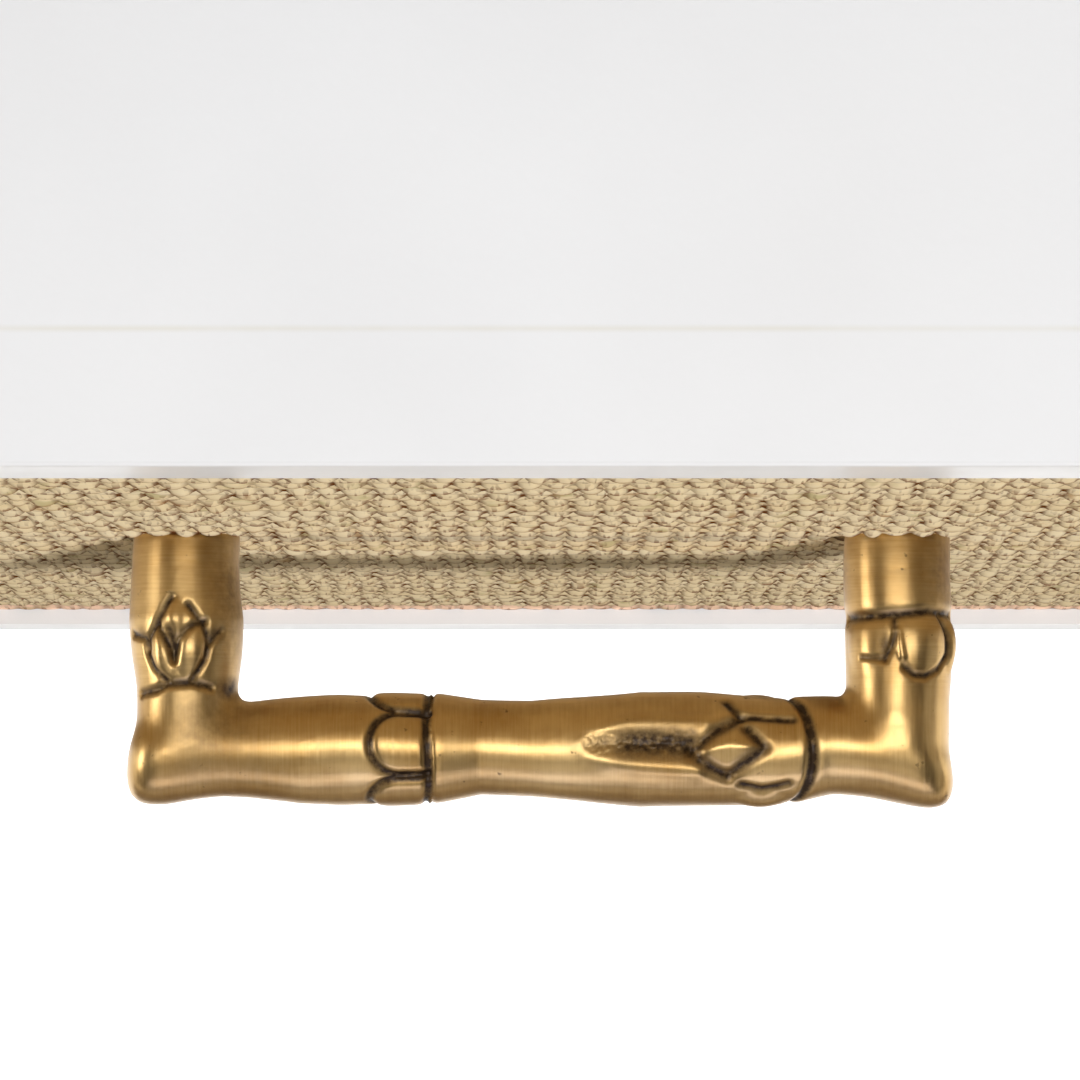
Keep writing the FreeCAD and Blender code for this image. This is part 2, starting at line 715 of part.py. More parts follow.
def floor_board():
    board = box("floor_board", BETWEEN_ENDS, ("front_y + end_thickness", "back_y - end_thickness"),
                ("panel_underside", "first_floor"))
    tongue = box("floor_tongue", HOUSED, TONGUE_DEPTH,
                 ("panel_underside + tongue_shoulder", "first_floor - tongue_shoulder"))
    return fuse("floor_whole", board, tongue)


def case(shell, pull, foot_holes):
    back, screws = back_board(), back_screws()
    fronts, rail = front_frame(shell), rear_rail(shell)
    top, bottom = top_board(shell), floor_board()
    node("rear_bottom_rail", cut("rear_bottom_rail", rail, back, *screws))
    node("top_panel", cut("top_panel", top, back, *screws))
    node("bottom_panel", cut("bottom_panel", bottom, *foot_holes))
    node("back_panel", cut("back_panel", common("back_fitted", back, shell), *screws))
    node("back_screws", group("back_screws", screws))
    screw = pull_screw("core_thickness")
    handle_screws = []
    for side, sign in (("right", 1), ("left", -1)):
        end_frame(side, sign, shell, fronts, [rail, back], top, bottom)
        handle_screws += end_handle(side, sign, pull, screw)
    node("handle_screws", group("handle_screws", handle_screws))


def end_frame(side, sign, shell, fronts, backs, top_whole, floor_whole):
    """Rails, stiles, core and weave of one end, with the sockets for what joins them."""
    name = side + "_end"
    wide, narrow = post_holes(name, sign)
    core = end_core(name + "_core", sign)
    upper = end_rail(name + "_upper", shell, sign, "case_top - rim_top", "case_top")
    lower = end_rail(name + "_lower", shell, sign, "case_low", "case_low + rim_bottom")
    node(name + "_top_rail", cut(name + "_top_rail", upper, core, top_whole))
    node(name + "_bottom_rail", cut(name + "_bottom_rail", lower, core, floor_whole))
    node(name + "_core", cut(name + "_core", core, *narrow))
    end_weave(name + "_weave", sign, wide)
    x = end_span(sign, 0, "end_thickness")
    z = ("case_low", "case_top")
    front = case_board(name + "_front", shell, x, ("front_y", "front_y + stile_width"), z)
    rear = case_board(name + "_rear", shell, x, ("back_y - stile_width", "back_y"), z)
    node(name + "_front_stile", cut(name + "_front_stile", front, upper, lower, core, *fronts))
    node(name + "_rear_stile", cut(name + "_rear_stile", rear, upper, lower, core, *backs))


def end_handle(side, sign, pull, screw):
    """Handle on one end, and the two screws that hold it from inside."""
    turn = (FreeCAD.Vector(0, 0, 1), 90 * sign)
    seat = f"{sign} * (half_width - weave_seat)"
    node(side + "_handle", link(side + "_handle", pull, seat, "middle_y", "handle_height", turn))
    return [link(f"{side}_handle_screw_{i}", screw, seat, f"middle_y + {place} * pull_centres / 2",
                 "handle_height", turn)
            for i, place in enumerate((-1, 1))]


# Runners, kickers and stops
def inside_strips(name, y, z):
    strips = [box(f"{name}_{tag}", x, y, z)
              for tag, x in (("left", ("-inner_half", "-inner_half + runner_width")),
                             ("right", ("inner_half - runner_width", "inner_half")))]
    node(name, group(name, strips))


def guides():
    to_back = "back_y - back_thickness"
    for number, label in ((1, "middle"), (2, "top")):
        floor = f"(first_floor + {number} * bay_pitch)"
        inside_strips(label + "_drawer_runners", ("front_y + divider_depth", to_back),
                      (f"{floor} - runner_height", floor))
    inside_strips("top_kickers", ("front_y + end_thickness", to_back),
                  ("case_top - rim_top + kicker_gap", "case_top - top_thickness"))
    stops = []
    for number in range(3):
        floor = f"(first_floor + {number} * bay_pitch)"
        stops.append(box(f"stop_{number}", ("-stop_width / 2", "stop_width / 2"),
                         ("drawer_front_back + stop_gap", "drawer_front_back + stop_length"),
                         (floor, f"{floor} + stop_height")))
    node("drawer_stops", group("drawer_stops", stops))


# Checks and files
def write_parts():
    os.makedirs("parts", exist_ok=True)
    for item in doc.Objects:
        if "Invalid" in item.State or "Error" in item.State:
            raise RuntimeError(f"{item.Name}: {item.State}")
    for name, item in nodes.items():
        shape = Part.getShape(item)
        if shape.isNull() or not shape.isValid() or not shape.Solids:
            raise RuntimeError(f"{name} has no sound solid")
        shape.exportStep(f"parts/{name}.step")


def main():
    fill_sheet()
    block = case_block()
    shell = cut("case_shell", block, *corner_brasses(block))
    pull = bamboo_pull()
    holes = feet()
    case(shell, pull, holes)
    screw = pull_screw("(front_thickness - weave_seat)")
    for number, label in enumerate(("bottom", "middle", "top")):
        drawer(label, number, pull, screw)
    guides()
    doc.recompute()
    write_parts()


main()
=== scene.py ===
"""Looks of the campaign chest: lacquer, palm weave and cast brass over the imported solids."""

import json
import math

import bpy
import numpy as np
from mathutils import Matrix, Vector

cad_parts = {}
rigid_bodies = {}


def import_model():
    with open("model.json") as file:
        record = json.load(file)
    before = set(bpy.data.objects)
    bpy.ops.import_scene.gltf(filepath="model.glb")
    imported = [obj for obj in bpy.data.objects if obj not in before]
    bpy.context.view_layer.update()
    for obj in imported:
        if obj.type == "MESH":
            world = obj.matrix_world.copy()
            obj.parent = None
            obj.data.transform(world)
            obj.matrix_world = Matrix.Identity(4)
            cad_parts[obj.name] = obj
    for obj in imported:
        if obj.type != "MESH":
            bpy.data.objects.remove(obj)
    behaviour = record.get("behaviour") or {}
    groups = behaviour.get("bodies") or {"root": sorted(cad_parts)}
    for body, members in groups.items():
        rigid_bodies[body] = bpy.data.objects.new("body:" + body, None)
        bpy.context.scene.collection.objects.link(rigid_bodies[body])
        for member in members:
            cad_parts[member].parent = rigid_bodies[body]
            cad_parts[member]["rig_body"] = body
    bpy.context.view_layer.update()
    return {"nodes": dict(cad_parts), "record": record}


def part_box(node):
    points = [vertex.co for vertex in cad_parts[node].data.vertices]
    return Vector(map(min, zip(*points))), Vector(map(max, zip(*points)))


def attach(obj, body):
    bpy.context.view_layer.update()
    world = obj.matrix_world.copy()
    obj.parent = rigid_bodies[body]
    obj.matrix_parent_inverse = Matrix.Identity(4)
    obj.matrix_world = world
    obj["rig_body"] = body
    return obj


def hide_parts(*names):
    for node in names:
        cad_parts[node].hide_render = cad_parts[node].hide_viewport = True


MM = 0.001
SEED = 7

# Weave sizes in millimetres
WEAVE_COLUMN = 4.7
WEAVE_ROW = 7.7
WEAVE_FLOOR = 0.18
WEAVE_CREST = 1.75
TALL_BULGE = 0.92
LOW_BULGE = 0.42
BACKING_HEIGHT = 0.06
POST_HOLE = 8.4

# Shape of the weave: points to a column, roundness of a bulge, overlap of the rows
WEAVE_STEPS = 8
BULGE_POWER = 0.72
ROW_OVERLAP = 1.06

# Painted shade in the gaps between bulges: width as a share of a column, least and most open, darkness in
# low rows
GAP_WIDTH = 0.125
GAP_OPEN = (0.3, 1.6)
WEAK_GAP = 0.4

# Unevenness of the weave: slip of a row, of its columns, the height over which that turns, bulge spread
ROW_SLIP = 0.15
COLUMN_SLIP = 0.2
SLIP_PITCH = 9.0
BULGE_SPREAD = 0.14

# Waves of the rows: length and height in millimetres
WAVES = ((11.0, 0.3), (23.0, 0.35), (61.0, 0.35), (140.0, 0.4))

# One weave row from its tucked upper edge to its lower edge: share of height, share of bulge
ROW_PROFILE = ((0.0, 0.2), (0.5, 0.62), (0.92, 0.86), (1.0, 1.0))

# At the same four places: share of the brown painted shade along the lower edge, share of the painted
# shade in the gap
ROW_EDGE_SHADE = (0.0, 0.15, 0.5, 1.0)
ROW_GAP_SHADE = (0.5, 1.0, 1.0, 1.0)

# Tone of the strips: middle and spread, least and most, and the pink of the lowest row
STRIP_TONE = (0.5, 0.08)
TONE_LIMITS = (0.36, 0.62)
PINK_TONE = 1.6

# Handle sizes in millimetres, the same as the solid's
REACH = 38.8
CENTRES = 127.0
BAR_RADIUS = 9.5
POST_RADIUS = 9.7

# Making of the handle: remesh size, least radius and finish depth in millimetres, points to a turn
VOXEL = 0.38
LEAST_RADIUS = 0.01
FINISH_DEPTH = 0.22
TUBE_TURNS = 40

# Distance of a point that a stroke doesn't reach, how far round a line may go, spread of soot in a groove
FAR = 1e9
ROUND_LIMIT = 0.985
SOOT_SPREAD = 1.15

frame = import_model()
nodes = frame["nodes"]
slots = {part["node"]: part["material_slot"] for part in frame["record"]["subparts"]}
WEAVES = sorted(name for name in nodes if name.endswith("_weave"))

# Painted joint where the top meets the ends, in metres
END_LOW, END_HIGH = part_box("right_end_top_rail")
JOINT_X = END_LOW.x
JOINT_Z = END_HIGH.z - 0.0005
JOINT_WIDTH = 0.0007


# Shader helpers
def srgb(red, green, blue):
    """Screen colour from 0 to 255 as a linear shader colour."""
    def linear(value):
        value /= 255
        return value / 12.92 if value <= 0.04045 else ((value + 0.055) / 1.055) ** 2.4
    return (linear(red), linear(green), linear(blue), 1.0)


def feed(tree, socket, value):
    """Links a socket to another, or sets it to a constant."""
    if isinstance(value, bpy.types.NodeSocket):
        tree.links.new(value, socket)
    else:
        socket.default_value = value


def add(tree, kind, inputs=None, **settings):
    """New shader node with its inputs fed and its settings made."""
    made = tree.nodes.new(kind)
    for key, value in settings.items():
        setattr(made, key, value)
    for key, value in (inputs or {}).items():
        feed(tree, made.inputs[key], value)
    return made


def new_material(name, **constants):
    """Material, its node tree and its shader, with constants set on the shader's sockets."""
    made = bpy.data.materials.new(name)
    made.use_nodes = True
    shader = made.node_tree.nodes["Principled BSDF"]
    for key, value in constants.items():
        shader.inputs[key.replace("_", " ")].default_value = value
    return made, made.node_tree, shader


def noise(tree, stretch, detail=4.0, rough=0.55, warp=0.0):
    """Cloudy value over the piece, with so many clouds to the metre along each axis."""
    place = add(tree, "ShaderNodeTexCoord")
    mapping = add(tree, "ShaderNodeMapping", {"Vector": place.outputs["Object"], "Scale": stretch})
    inputs = {"Vector": mapping.outputs[0], "Scale": 1.0, "Detail": detail, "Roughness": rough,
              "Distortion": warp}
    return add(tree, "ShaderNodeTexNoise", inputs).outputs["Fac"]


def ramp(tree, factor, *stops):
    """Colours over a value, as stops of place and colour."""
    made = add(tree, "ShaderNodeValToRGB", {"Fac": factor})
    marks = made.color_ramp.elements
    while len(marks) < len(stops):
        marks.new(0.5)
    for mark, (place, colour) in zip(marks, stops):
        mark.position = place
        mark.color = colour
    return made.outputs["Color"]


def shade(value):
    """Grey of a given lightness."""
    return (value, value, value, 1.0)


def mix(tree, factor, first, second):
    """Blend from the first colour to the second."""
    made = add(tree, "ShaderNodeMix", data_type="RGBA")
    feed(tree, made.inputs[0], factor)
    feed(tree, made.inputs[6], first)
    feed(tree, made.inputs[7], second)
    return made.outputs[2]


def calc(tree, operation, first, second=0.0):
    """One sum on one or two values."""
    made = add(tree, "ShaderNodeMath", operation=operation)
    feed(tree, made.inputs[0], first)
    feed(tree, made.inputs[1], second)
    return made.outputs[0]


def bump(tree, shader, height, strength, distance):
    """Fine relief of a material."""
    made = add(tree, "ShaderNodeBump", {"Height": height, "Strength": strength, "Distance": distance})
    tree.links.new(made.outputs[0], shader.inputs["Normal"])


def attribute(tree, name):
    """Value kept on the points of a mesh."""
    return add(tree, "ShaderNodeAttribute", attribute_name=name).outputs["Fac"]


# Materials
def lacquer():
    """White brushed lacquer, with a faint line where the top meets the ends."""
    made, tree, shader = new_material("white_lacquer_paint", Coat_Weight=0.2, Coat_Roughness=0.2,
                                      Specular_IOR_Level=0.25)
    cloud = noise(tree, (5, 5, 5), 3)
    paint = ramp(tree, cloud, (0.3, srgb(206, 205, 205)), (0.7, srgb(210, 210, 211)))
    place = add(tree, "ShaderNodeTexCoord")
    split = add(tree, "ShaderNodeSeparateXYZ", {"Vector": place.outputs["Object"]})
    side = calc(tree, "ABSOLUTE", split.outputs["X"])
    off = calc(tree, "ABSOLUTE", calc(tree, "SUBTRACT", side, JOINT_X))
    near = calc(tree, "SUBTRACT", 1.0, calc(tree, "DIVIDE", off, JOINT_WIDTH))
    high = calc(tree, "GREATER_THAN", split.outputs["Z"], JOINT_Z)
    line = calc(tree, "MULTIPLY", calc(tree, "MAXIMUM", near, 0.0), high)
    wear = ramp(tree, noise(tree, (60, 60, 60), 3), (0.3, shade(0.5)), (0.6, shade(1.0)))
    broken = calc(tree, "MULTIPLY", line, wear)
    tree.links.new(mix(tree, broken, paint, srgb(200, 197, 190)), shader.inputs["Base Color"])
    gloss = ramp(tree, noise(tree, (24, 24, 24), 5), (0.3, shade(0.30)), (0.7, shade(0.42)))
    tree.links.new(gloss, shader.inputs["Roughness"])
    peel = noise(tree, (420, 420, 420), 2)
    bump(tree, shader, peel, 0.12, 0.0004)
    return made


def wood(axis):
    """Plain pale wood with its grain along one axis."""
    made, tree, shader = new_material(f"plain_wood_{axis}", Roughness=0.6)
    fine = [160.0, 160.0, 160.0]
    wide = [34.0, 34.0, 34.0]
    fine["xyz".index(axis)] = 5.0
    wide["xyz".index(axis)] = 1.6
    grain = noise(tree, wide, 3, 0.5, 0.6)
    pores = noise(tree, fine, 5, 0.6)
    base = ramp(tree, grain, (0.25, srgb(176, 143, 102)), (0.5, srgb(201, 170, 128)),
                (0.75, srgb(216, 189, 150)))
    dark = ramp(tree, pores, (0.3, shade(0.55)), (0.5, shade(0.0)))
    tree.links.new(mix(tree, dark, base, srgb(143, 108, 72)), shader.inputs["Base Color"])
    bump(tree, shader, pores, 0.25, 0.0004)
    return made


def palm():
    """Split palm strip: straw with fibres along it, with brown painted shade along its lower edge and in
    its gaps.
    """
    made, tree, shader = new_material("palm_strip", Roughness=0.7, Specular_IOR_Level=0.0)
    fibre = noise(tree, (110, 700, 900), 4, 0.6)
    spread = calc(tree, "MULTIPLY", calc(tree, "SUBTRACT", fibre, 0.5), 0.6)
    tone = calc(tree, "ADD", attribute(tree, "tone"), spread)
    straw = ramp(tree, tone, (0.05, srgb(222, 196, 148)), (0.35, srgb(238, 216, 173)),
                 (0.65, srgb(243, 226, 190)), (0.95, srgb(246, 234, 206)), (1.0, srgb(249, 212, 184)))
    green = ramp(tree, noise(tree, (130, 130, 60), 2), (0.6, shade(0.0)), (0.72, shade(0.5)))
    straw = mix(tree, green, straw, srgb(166, 156, 92))
    rust = ramp(tree, noise(tree, (170, 170, 60), 3), (0.64, shade(0.0)), (0.72, shade(0.6)))
    straw = mix(tree, rust, straw, srgb(176, 128, 76))
    # Painted shade: a thin brown line along each row's lower edge, broken up by noise; the fibre ticks
    # stay near it
    edge_shade = attribute(tree, "edge_shade")
    broken = ramp(tree, noise(tree, (260, 60, 140), 2), (0.35, shade(0.35)), (0.6, shade(1.0)))
    edge = calc(tree, "MULTIPLY", calc(tree, "POWER", edge_shade, 2.0), broken)
    straw = mix(tree, edge, straw, srgb(142, 94, 48))
    ticks = ramp(tree, noise(tree, (800, 40, 90), 1), (0.54, shade(0.0)), (0.59, shade(0.95)))
    ticks = calc(tree, "MULTIPLY", ticks, calc(tree, "POWER", edge_shade, 0.7))
    straw = mix(tree, ticks, straw, srgb(112, 62, 34))
    # Painted shade: the gaps between bulges are darkened to deep brown
    gap_darkening = calc(tree, "MULTIPLY", calc(tree, "POWER", attribute(tree, "gap_shade"), 0.8), 0.97)
    tree.links.new(mix(tree, gap_darkening, straw, srgb(98, 54, 22)), shader.inputs["Base Color"])
    bump(tree, shader, fibre, 0.5, 0.0003)
    return made


def backing():
    """Brown cloth behind the weave, seen only through its gaps."""
    made, tree, shader = new_material("weave_backing", Roughness=0.9)
    threads = noise(tree, (900, 900, 900), 2)
    tree.links.new(ramp(tree, threads, (0.35, srgb(58, 36, 20)), (0.65, srgb(92, 60, 36))),
                   shader.inputs["Base Color"])
    return made


def brass(name, worn):
    """Satin antique brass, brushed and a little pitted: worn has dark hollows and painted shade from the
    mesh, else it is clouded.
    """
    made, tree, shader = new_material(name, Metallic=1.0, Coat_Weight=0.3, Coat_Roughness=0.3)
    cloud = noise(tree, (70, 70, 70), 4)
    across_bar = noise(tree, (2400, 120, 120), 2)
    across_post = noise(tree, (120, 2400, 120), 2)
    brush = mix(tree, attribute(tree, "post"), across_bar, across_post)
    streak = calc(tree, "ADD", calc(tree, "MULTIPLY", cloud, 0.75), calc(tree, "MULTIPLY", brush, 0.25))
    bright = ramp(tree, streak, (0.35, srgb(172, 134, 76)), (0.65, srgb(206, 172, 114)))
    pits = ramp(tree, noise(tree, (520, 520, 520), 2), (0.69, shade(0.0)), (0.76, shade(0.9)))
    if worn:
        patina = attribute(tree, "patina")
        grain = calc(tree, "SUBTRACT", noise(tree, (650, 650, 650), 3), 0.5)
        grain = calc(tree, "MULTIPLY", grain, 1.2)
        soot_and_shade = calc(tree, "ADD", patina, calc(tree, "MULTIPLY", patina, grain))
    else:
        soot_and_shade = ramp(tree, noise(tree, (140, 140, 140), 6, 0.65), (0.42, shade(0.02)), (0.8, shade(0.4)))
    dark = calc(tree, "MAXIMUM", soot_and_shade, calc(tree, "MULTIPLY", pits, 0.6))
    tree.links.new(mix(tree, dark, bright, srgb(60, 43, 25)), shader.inputs["Base Color"])
    rough = ramp(tree, brush, (0.3, shade(0.28)), (0.7, shade(0.37)))
    tree.links.new(mix(tree, dark, rough, shade(0.62)), shader.inputs["Roughness"])
    bump(tree, shader, calc(tree, "SUBTRACT", brush, calc(tree, "MULTIPLY", pits, 2.0)), 0.04, 0.0002)
    return made


def steel():
    """Plated steel of bolts and hidden screws."""
    made, tree, shader = new_material("zinc_steel", Metallic=1.0)
    spangle = noise(tree, (300, 300, 300), 3)
    tree.links.new(ramp(tree, spangle, (0.3, srgb(150, 152, 154)), (0.7, srgb(188, 189, 190))),
                   shader.inputs["Base Color"])
    rough = ramp(tree, spangle, (0.3, shade(0.3)), (0.7, shade(0.45)))
    tree.links.new(rough, shader.inputs["Roughness"])
    return made


def paper():
    """Pale studio floor."""
    made, tree, shader = new_material("studio_floor", Roughness=0.9, Emission_Color=(1, 1, 1, 1),
                                      Emission_Strength=0.45)
    cloud = noise(tree, (0.6, 0.6, 0.6), 2)
    tree.links.new(ramp(tree, cloud, (0.3, shade(0.9)), (0.7, shade(0.92))), shader.inputs["Base Color"])
    return made


def shade_grey():
    """Dull grey of the dark card: painted shade that only reflections see."""
    made, tree, shader = new_material("reflected_shade_grey", Roughness=1.0, Specular_IOR_Level=0.0)
    nap = noise(tree, (300, 300, 300), 2)
    tree.links.new(ramp(tree, nap, (0.3, srgb(140, 128, 114)), (0.7, srgb(154, 142, 128))),
                   shader.inputs["Base Color"])
    return made


# Meshes
def keep_values(mesh, name, values):
    """One value on each point of a mesh, for its material to read."""
    made = mesh.attributes.new(name, "FLOAT", "POINT")
    made.data.foreach_set("value", np.asarray(values, np.float32))


def mesh_from(name, points, quads, materials, picks=None, **fields):
    """Mesh of four-cornered faces, with values kept on its points."""
    made = bpy.data.meshes.new(name)
    made.vertices.add(len(points))
    made.vertices.foreach_set("co", np.asarray(points, np.float32).ravel())
    made.loops.add(len(quads) * 4)
    made.loops.foreach_set("vertex_index", np.asarray(quads, np.int32).ravel())
    made.polygons.add(len(quads))
    made.polygons.foreach_set("loop_start", np.arange(len(quads), dtype=np.int32) * 4)
    made.polygons.foreach_set("use_smooth", np.ones(len(quads), bool))
    for material in materials:
        made.materials.append(material)
    if picks is not None:
        made.polygons.foreach_set("material_index", np.asarray(picks, np.int32))
    for key, values in fields.items():
        keep_values(made, key, values)
    made.update(calc_edges=True)
    made.validate()
    return made


def quads_of(*corners):
    """Four-cornered faces from four grids of point numbers."""
    return np.stack([corner.ravel() for corner in corners], axis=1)


def place_piece(name, mesh, body, replaced, matrix):
    """Piece of the part: it rides on a body and may stand in for a solid."""
    piece = bpy.data.objects.new(name, mesh)
    bpy.context.scene.collection.objects.link(piece)
    piece.matrix_world = matrix
    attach(piece, body)
    if replaced:
        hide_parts(replaced)


# Woven panels
def strip_quads(strips, steps, across):
    """Faces of a stack of strips, each a grid of points."""
    grid = np.arange(strips * steps * across).reshape(strips, steps, across)
    return quads_of(grid[:, :-1, :-1], grid[:, 1:, :-1], grid[:, 1:, 1:], grid[:, :-1, 1:])


def wander(rng, along, heights):
    """Slow rise and fall of the rows across the panel, in millimetres."""
    total = np.zeros((len(heights), len(along)))
    for length, size in WAVES:
        slide = rng.uniform(0, 2 * math.pi) + heights[:, None] / rng.uniform(45, 90)
        total += size * np.sin(2 * math.pi * along[None, :] / length + slide)
    return total


def by_cell(values, cell):
    """Value of the column that each point of a row lies in."""
    number = np.floor(cell).astype(int) + 1
    return np.take_along_axis(values, np.clip(number, 0, values.shape[1] - 1), axis=1)


def weave_gap_shade(rng, cell, columns, tall):
    """Painted shade in the gaps: how dark each point of the rows is, from 0 to 1."""
    part = cell % 1.0
    share = np.where(tall, 1.0, WEAK_GAP)[:, None]
    cusp_shade = np.exp(-(np.minimum(part, 1 - part) / GAP_WIDTH) ** 2) * share
    cusp_shade *= by_cell(rng.uniform(*GAP_OPEN, (len(tall), columns + 3)), cell + 0.5)
    cusp_shade[0] *= WEAK_GAP
    return np.minimum(cusp_shade, 1.0)


def weave_rows(rng, width, height):
    """Points of the weft rows (along the panel, out from it, up it) and the painted shade in their gaps.
    """
    rows, columns = round(height / WEAVE_ROW), round(width / WEAVE_COLUMN)
    pitch = height / rows
    along = np.linspace(0, width, columns * WEAVE_STEPS + 1)
    tall = np.arange(rows) % 2 == 0
    cell = along[None, :] / width * columns + np.where(tall, 0.0, 0.5)[:, None]
    cell = cell + ROW_SLIP * rng.standard_normal((rows, 1))
    cell = cell + COLUMN_SLIP * wander(rng, along, np.arange(rows) * SLIP_PITCH)
    spread = by_cell(1 + BULGE_SPREAD * rng.standard_normal((rows, columns + 3)), cell)
    most = np.where(tall, TALL_BULGE, LOW_BULGE)[:, None]
    bulge = most * spread * np.sin(math.pi * (cell % 1.0)) ** BULGE_POWER
    bulge[0] = 0.3 * bulge[0] + 0.7 * TALL_BULGE
    upper = (np.arange(rows) + 1.0) * pitch
    rise = wander(rng, along, upper)
    points = np.zeros((rows, len(along), len(ROW_PROFILE), 3))
    for i, (down, share) in enumerate(ROW_PROFILE):
        points[:, :, i, 0] = along[None, :]
        points[:, :, i, 1] = np.minimum(WEAVE_FLOOR + bulge * share, WEAVE_CREST)
        points[:, :, i, 2] = upper[:, None] - ROW_OVERLAP * pitch * down + rise
    return points, weave_gap_shade(rng, cell, columns, tall)


def strip_fields(rng, cusp_shade):
    """Tone, painted edge shade and painted gap shade on every point of the rows, then on the four corners
    of the backing.
    """
    shape = (*cusp_shade.shape, len(ROW_PROFILE))
    tone = np.clip(rng.normal(*STRIP_TONE, (shape[0], 1, 1)), *TONE_LIMITS)
    tone = np.broadcast_to(tone, shape).copy()
    tone[0] = PINK_TONE
    edge_shade = np.broadcast_to(np.array(ROW_EDGE_SHADE), shape)
    gap_shade = cusp_shade[:, :, None] * np.array(ROW_GAP_SHADE)
    fields = {"tone": tone, "edge_shade": edge_shade, "gap_shade": gap_shade}
    return {key: np.concatenate([field.ravel(), np.zeros(4)]) for key, field in fields.items()}


def weave_mesh(name, width, height, post_height, seed, materials):
    """Close rows of palm over a backing sheet, centred on the panel, with round gaps for the posts."""
    rng = np.random.default_rng(seed)
    weft, cusp_shade = weave_rows(rng, width, height)
    rows, steps, across = weft.shape[:3]
    corners = ((0, 0), (width, 0), (width, height), (0, height))
    sheet = np.array([(along, BACKING_HEIGHT, up) for along, up in corners])
    points = np.concatenate([weft.reshape(-1, 3), sheet])
    faces = [strip_quads(rows, steps, across), np.arange(4)[None, :] + rows * steps * across]
    picks = np.concatenate([np.full(len(f), i) for i, f in enumerate(faces)])
    quads = np.concatenate(faces)
    points[:, 0] = np.clip(points[:, 0], 0, width) - width / 2
    points[:, 2] = np.clip(points[:, 2], 0, height) - height / 2
    points[:, 1] *= -1
    middle = points[quads].mean(axis=1)
    post = np.hypot(np.abs(middle[:, 0]) - CENTRES / 2, middle[:, 2] - post_height)
    keep = (post > POST_HOLE) | (picks == 1)
    fields = strip_fields(rng, cusp_shade)
    return mesh_from(name, points * MM, quads[keep], materials, picks[keep], **fields)


def facing(quarter_turns, seat):
    """Frame whose X runs along a panel, with minus Y out of it, at the middle of its seat."""
    return Matrix.Translation(seat) @ Matrix.Rotation(quarter_turns * math.pi / 2, 4, "Z")


def panel_frame(node):
    """Where a woven panel sits: its frame, width and height."""
    low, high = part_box(node)
    centre = (low + high) / 2
    if node.endswith("end_weave"):
        turn = 1 if centre.x > 0 else -1
        seat = Vector((low.x if turn > 0 else high.x, centre.y, centre.z))
        return facing(turn, seat), (high.y - low.y) / MM, (high.z - low.z) / MM
    seat = Vector((centre.x, high.y, centre.z))
    return facing(0, seat), (high.x - low.x) / MM, (high.z - low.z) / MM


def handle_of(weave):
    """Node of the handle that is screwed through a woven panel."""
    return weave.replace("_end_weave", "_handle").replace("_drawer_weave", "_drawer_pull")


def handle_frame(weave):
    """The panel's frame, moved up or down to the handle's height."""
    matrix, _, _ = panel_frame(weave)
    low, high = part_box(handle_of(weave))
    matrix.translation.z = (low.z + high.z) / 2
    return matrix


def woven_panels():
    """Strips in place of every woven sheet."""
    materials = [palm(), backing()]
    for number, node in enumerate(WEAVES):
        matrix, width, height = panel_frame(node)
        post_height = (handle_frame(node).translation.z - matrix.translation.z) / MM
        mesh = weave_mesh(node + "_strips", width, height, post_height, SEED + number, materials)
        body = nodes[node]["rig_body"]
        place_piece(node + "_strips", mesh, body, node, matrix)


# Cast bamboo handle: place along the axis, radius, and how far the middle is pushed to one side
BAR = [(-74.2, 0.5, 4.4), (-73.9, 3.6, 3.7), (-73.0, 6.3, 2.5), (-71.0, 8.3, 1.4), (-67.5, 9.2, 0.5),
       (-62.5, 9.0, -0.3), (-57.5, 8.7, -0.5), (-52, 8.75, -0.2), (-43, 9.6, 0.0), (-36, 9.95, -0.2),
       (-29, 9.75, -0.3), (-22.8, 9.4, -0.4), (-20.6, 9.2, -0.5), (-18.8, 9.85, -0.7), (-11, 8.5, -0.9),
       (-2, 8.6, -0.5), (7, 9.3, -0.5), (17.5, 10.3, -0.4), (28.5, 10.15, -0.3), (38, 9.85, 0.1),
       (42.3, 9.7, 0.2), (46.0, 9.6, -0.2), (51.8, 8.9, -1.2), (58, 8.8, -0.6), (64.0, 8.9, 0.6),
       (68.0, 8.4, 1.9), (70.8, 7.0, 3.3), (72.4, 5.2, 4.4), (73.2, 3.0, 5.3), (73.5, 0.5, 5.7)]
LEFT_POST = [(0, 0.0, 0), (0, 9.3, 0), (6, 9.5, 0), (15.5, 10.2, 0), (22, 9.9, 0), (27.4, 9.4, 0),
             (29.5, 9.5, 0), (33, 9.3, 0), (38.8, 9.2, 0), (42, 8.0, 0), (43, 0.0, 0)]
RIGHT_POST = [(0, 0.0, 0), (0, 9.3, 0), (7, 9.3, 0), (13, 9.6, 0), (15.2, 9.3, 0), (17.4, 9.7, 0),
              (26, 9.7, 0), (33, 9.7, 0), (38.8, 9.3, 0), (42, 8.0, 0), (43, 0.0, 0)]

# Smoothing of the elbows: where it sets in and over what length, along the bar and out from the panel
ELBOW_ALONG = (50, 6)
ELBOW_OUT = (26.5, 4)
SEAM_ROUNDS, ELBOW_ROUNDS = 12, 170


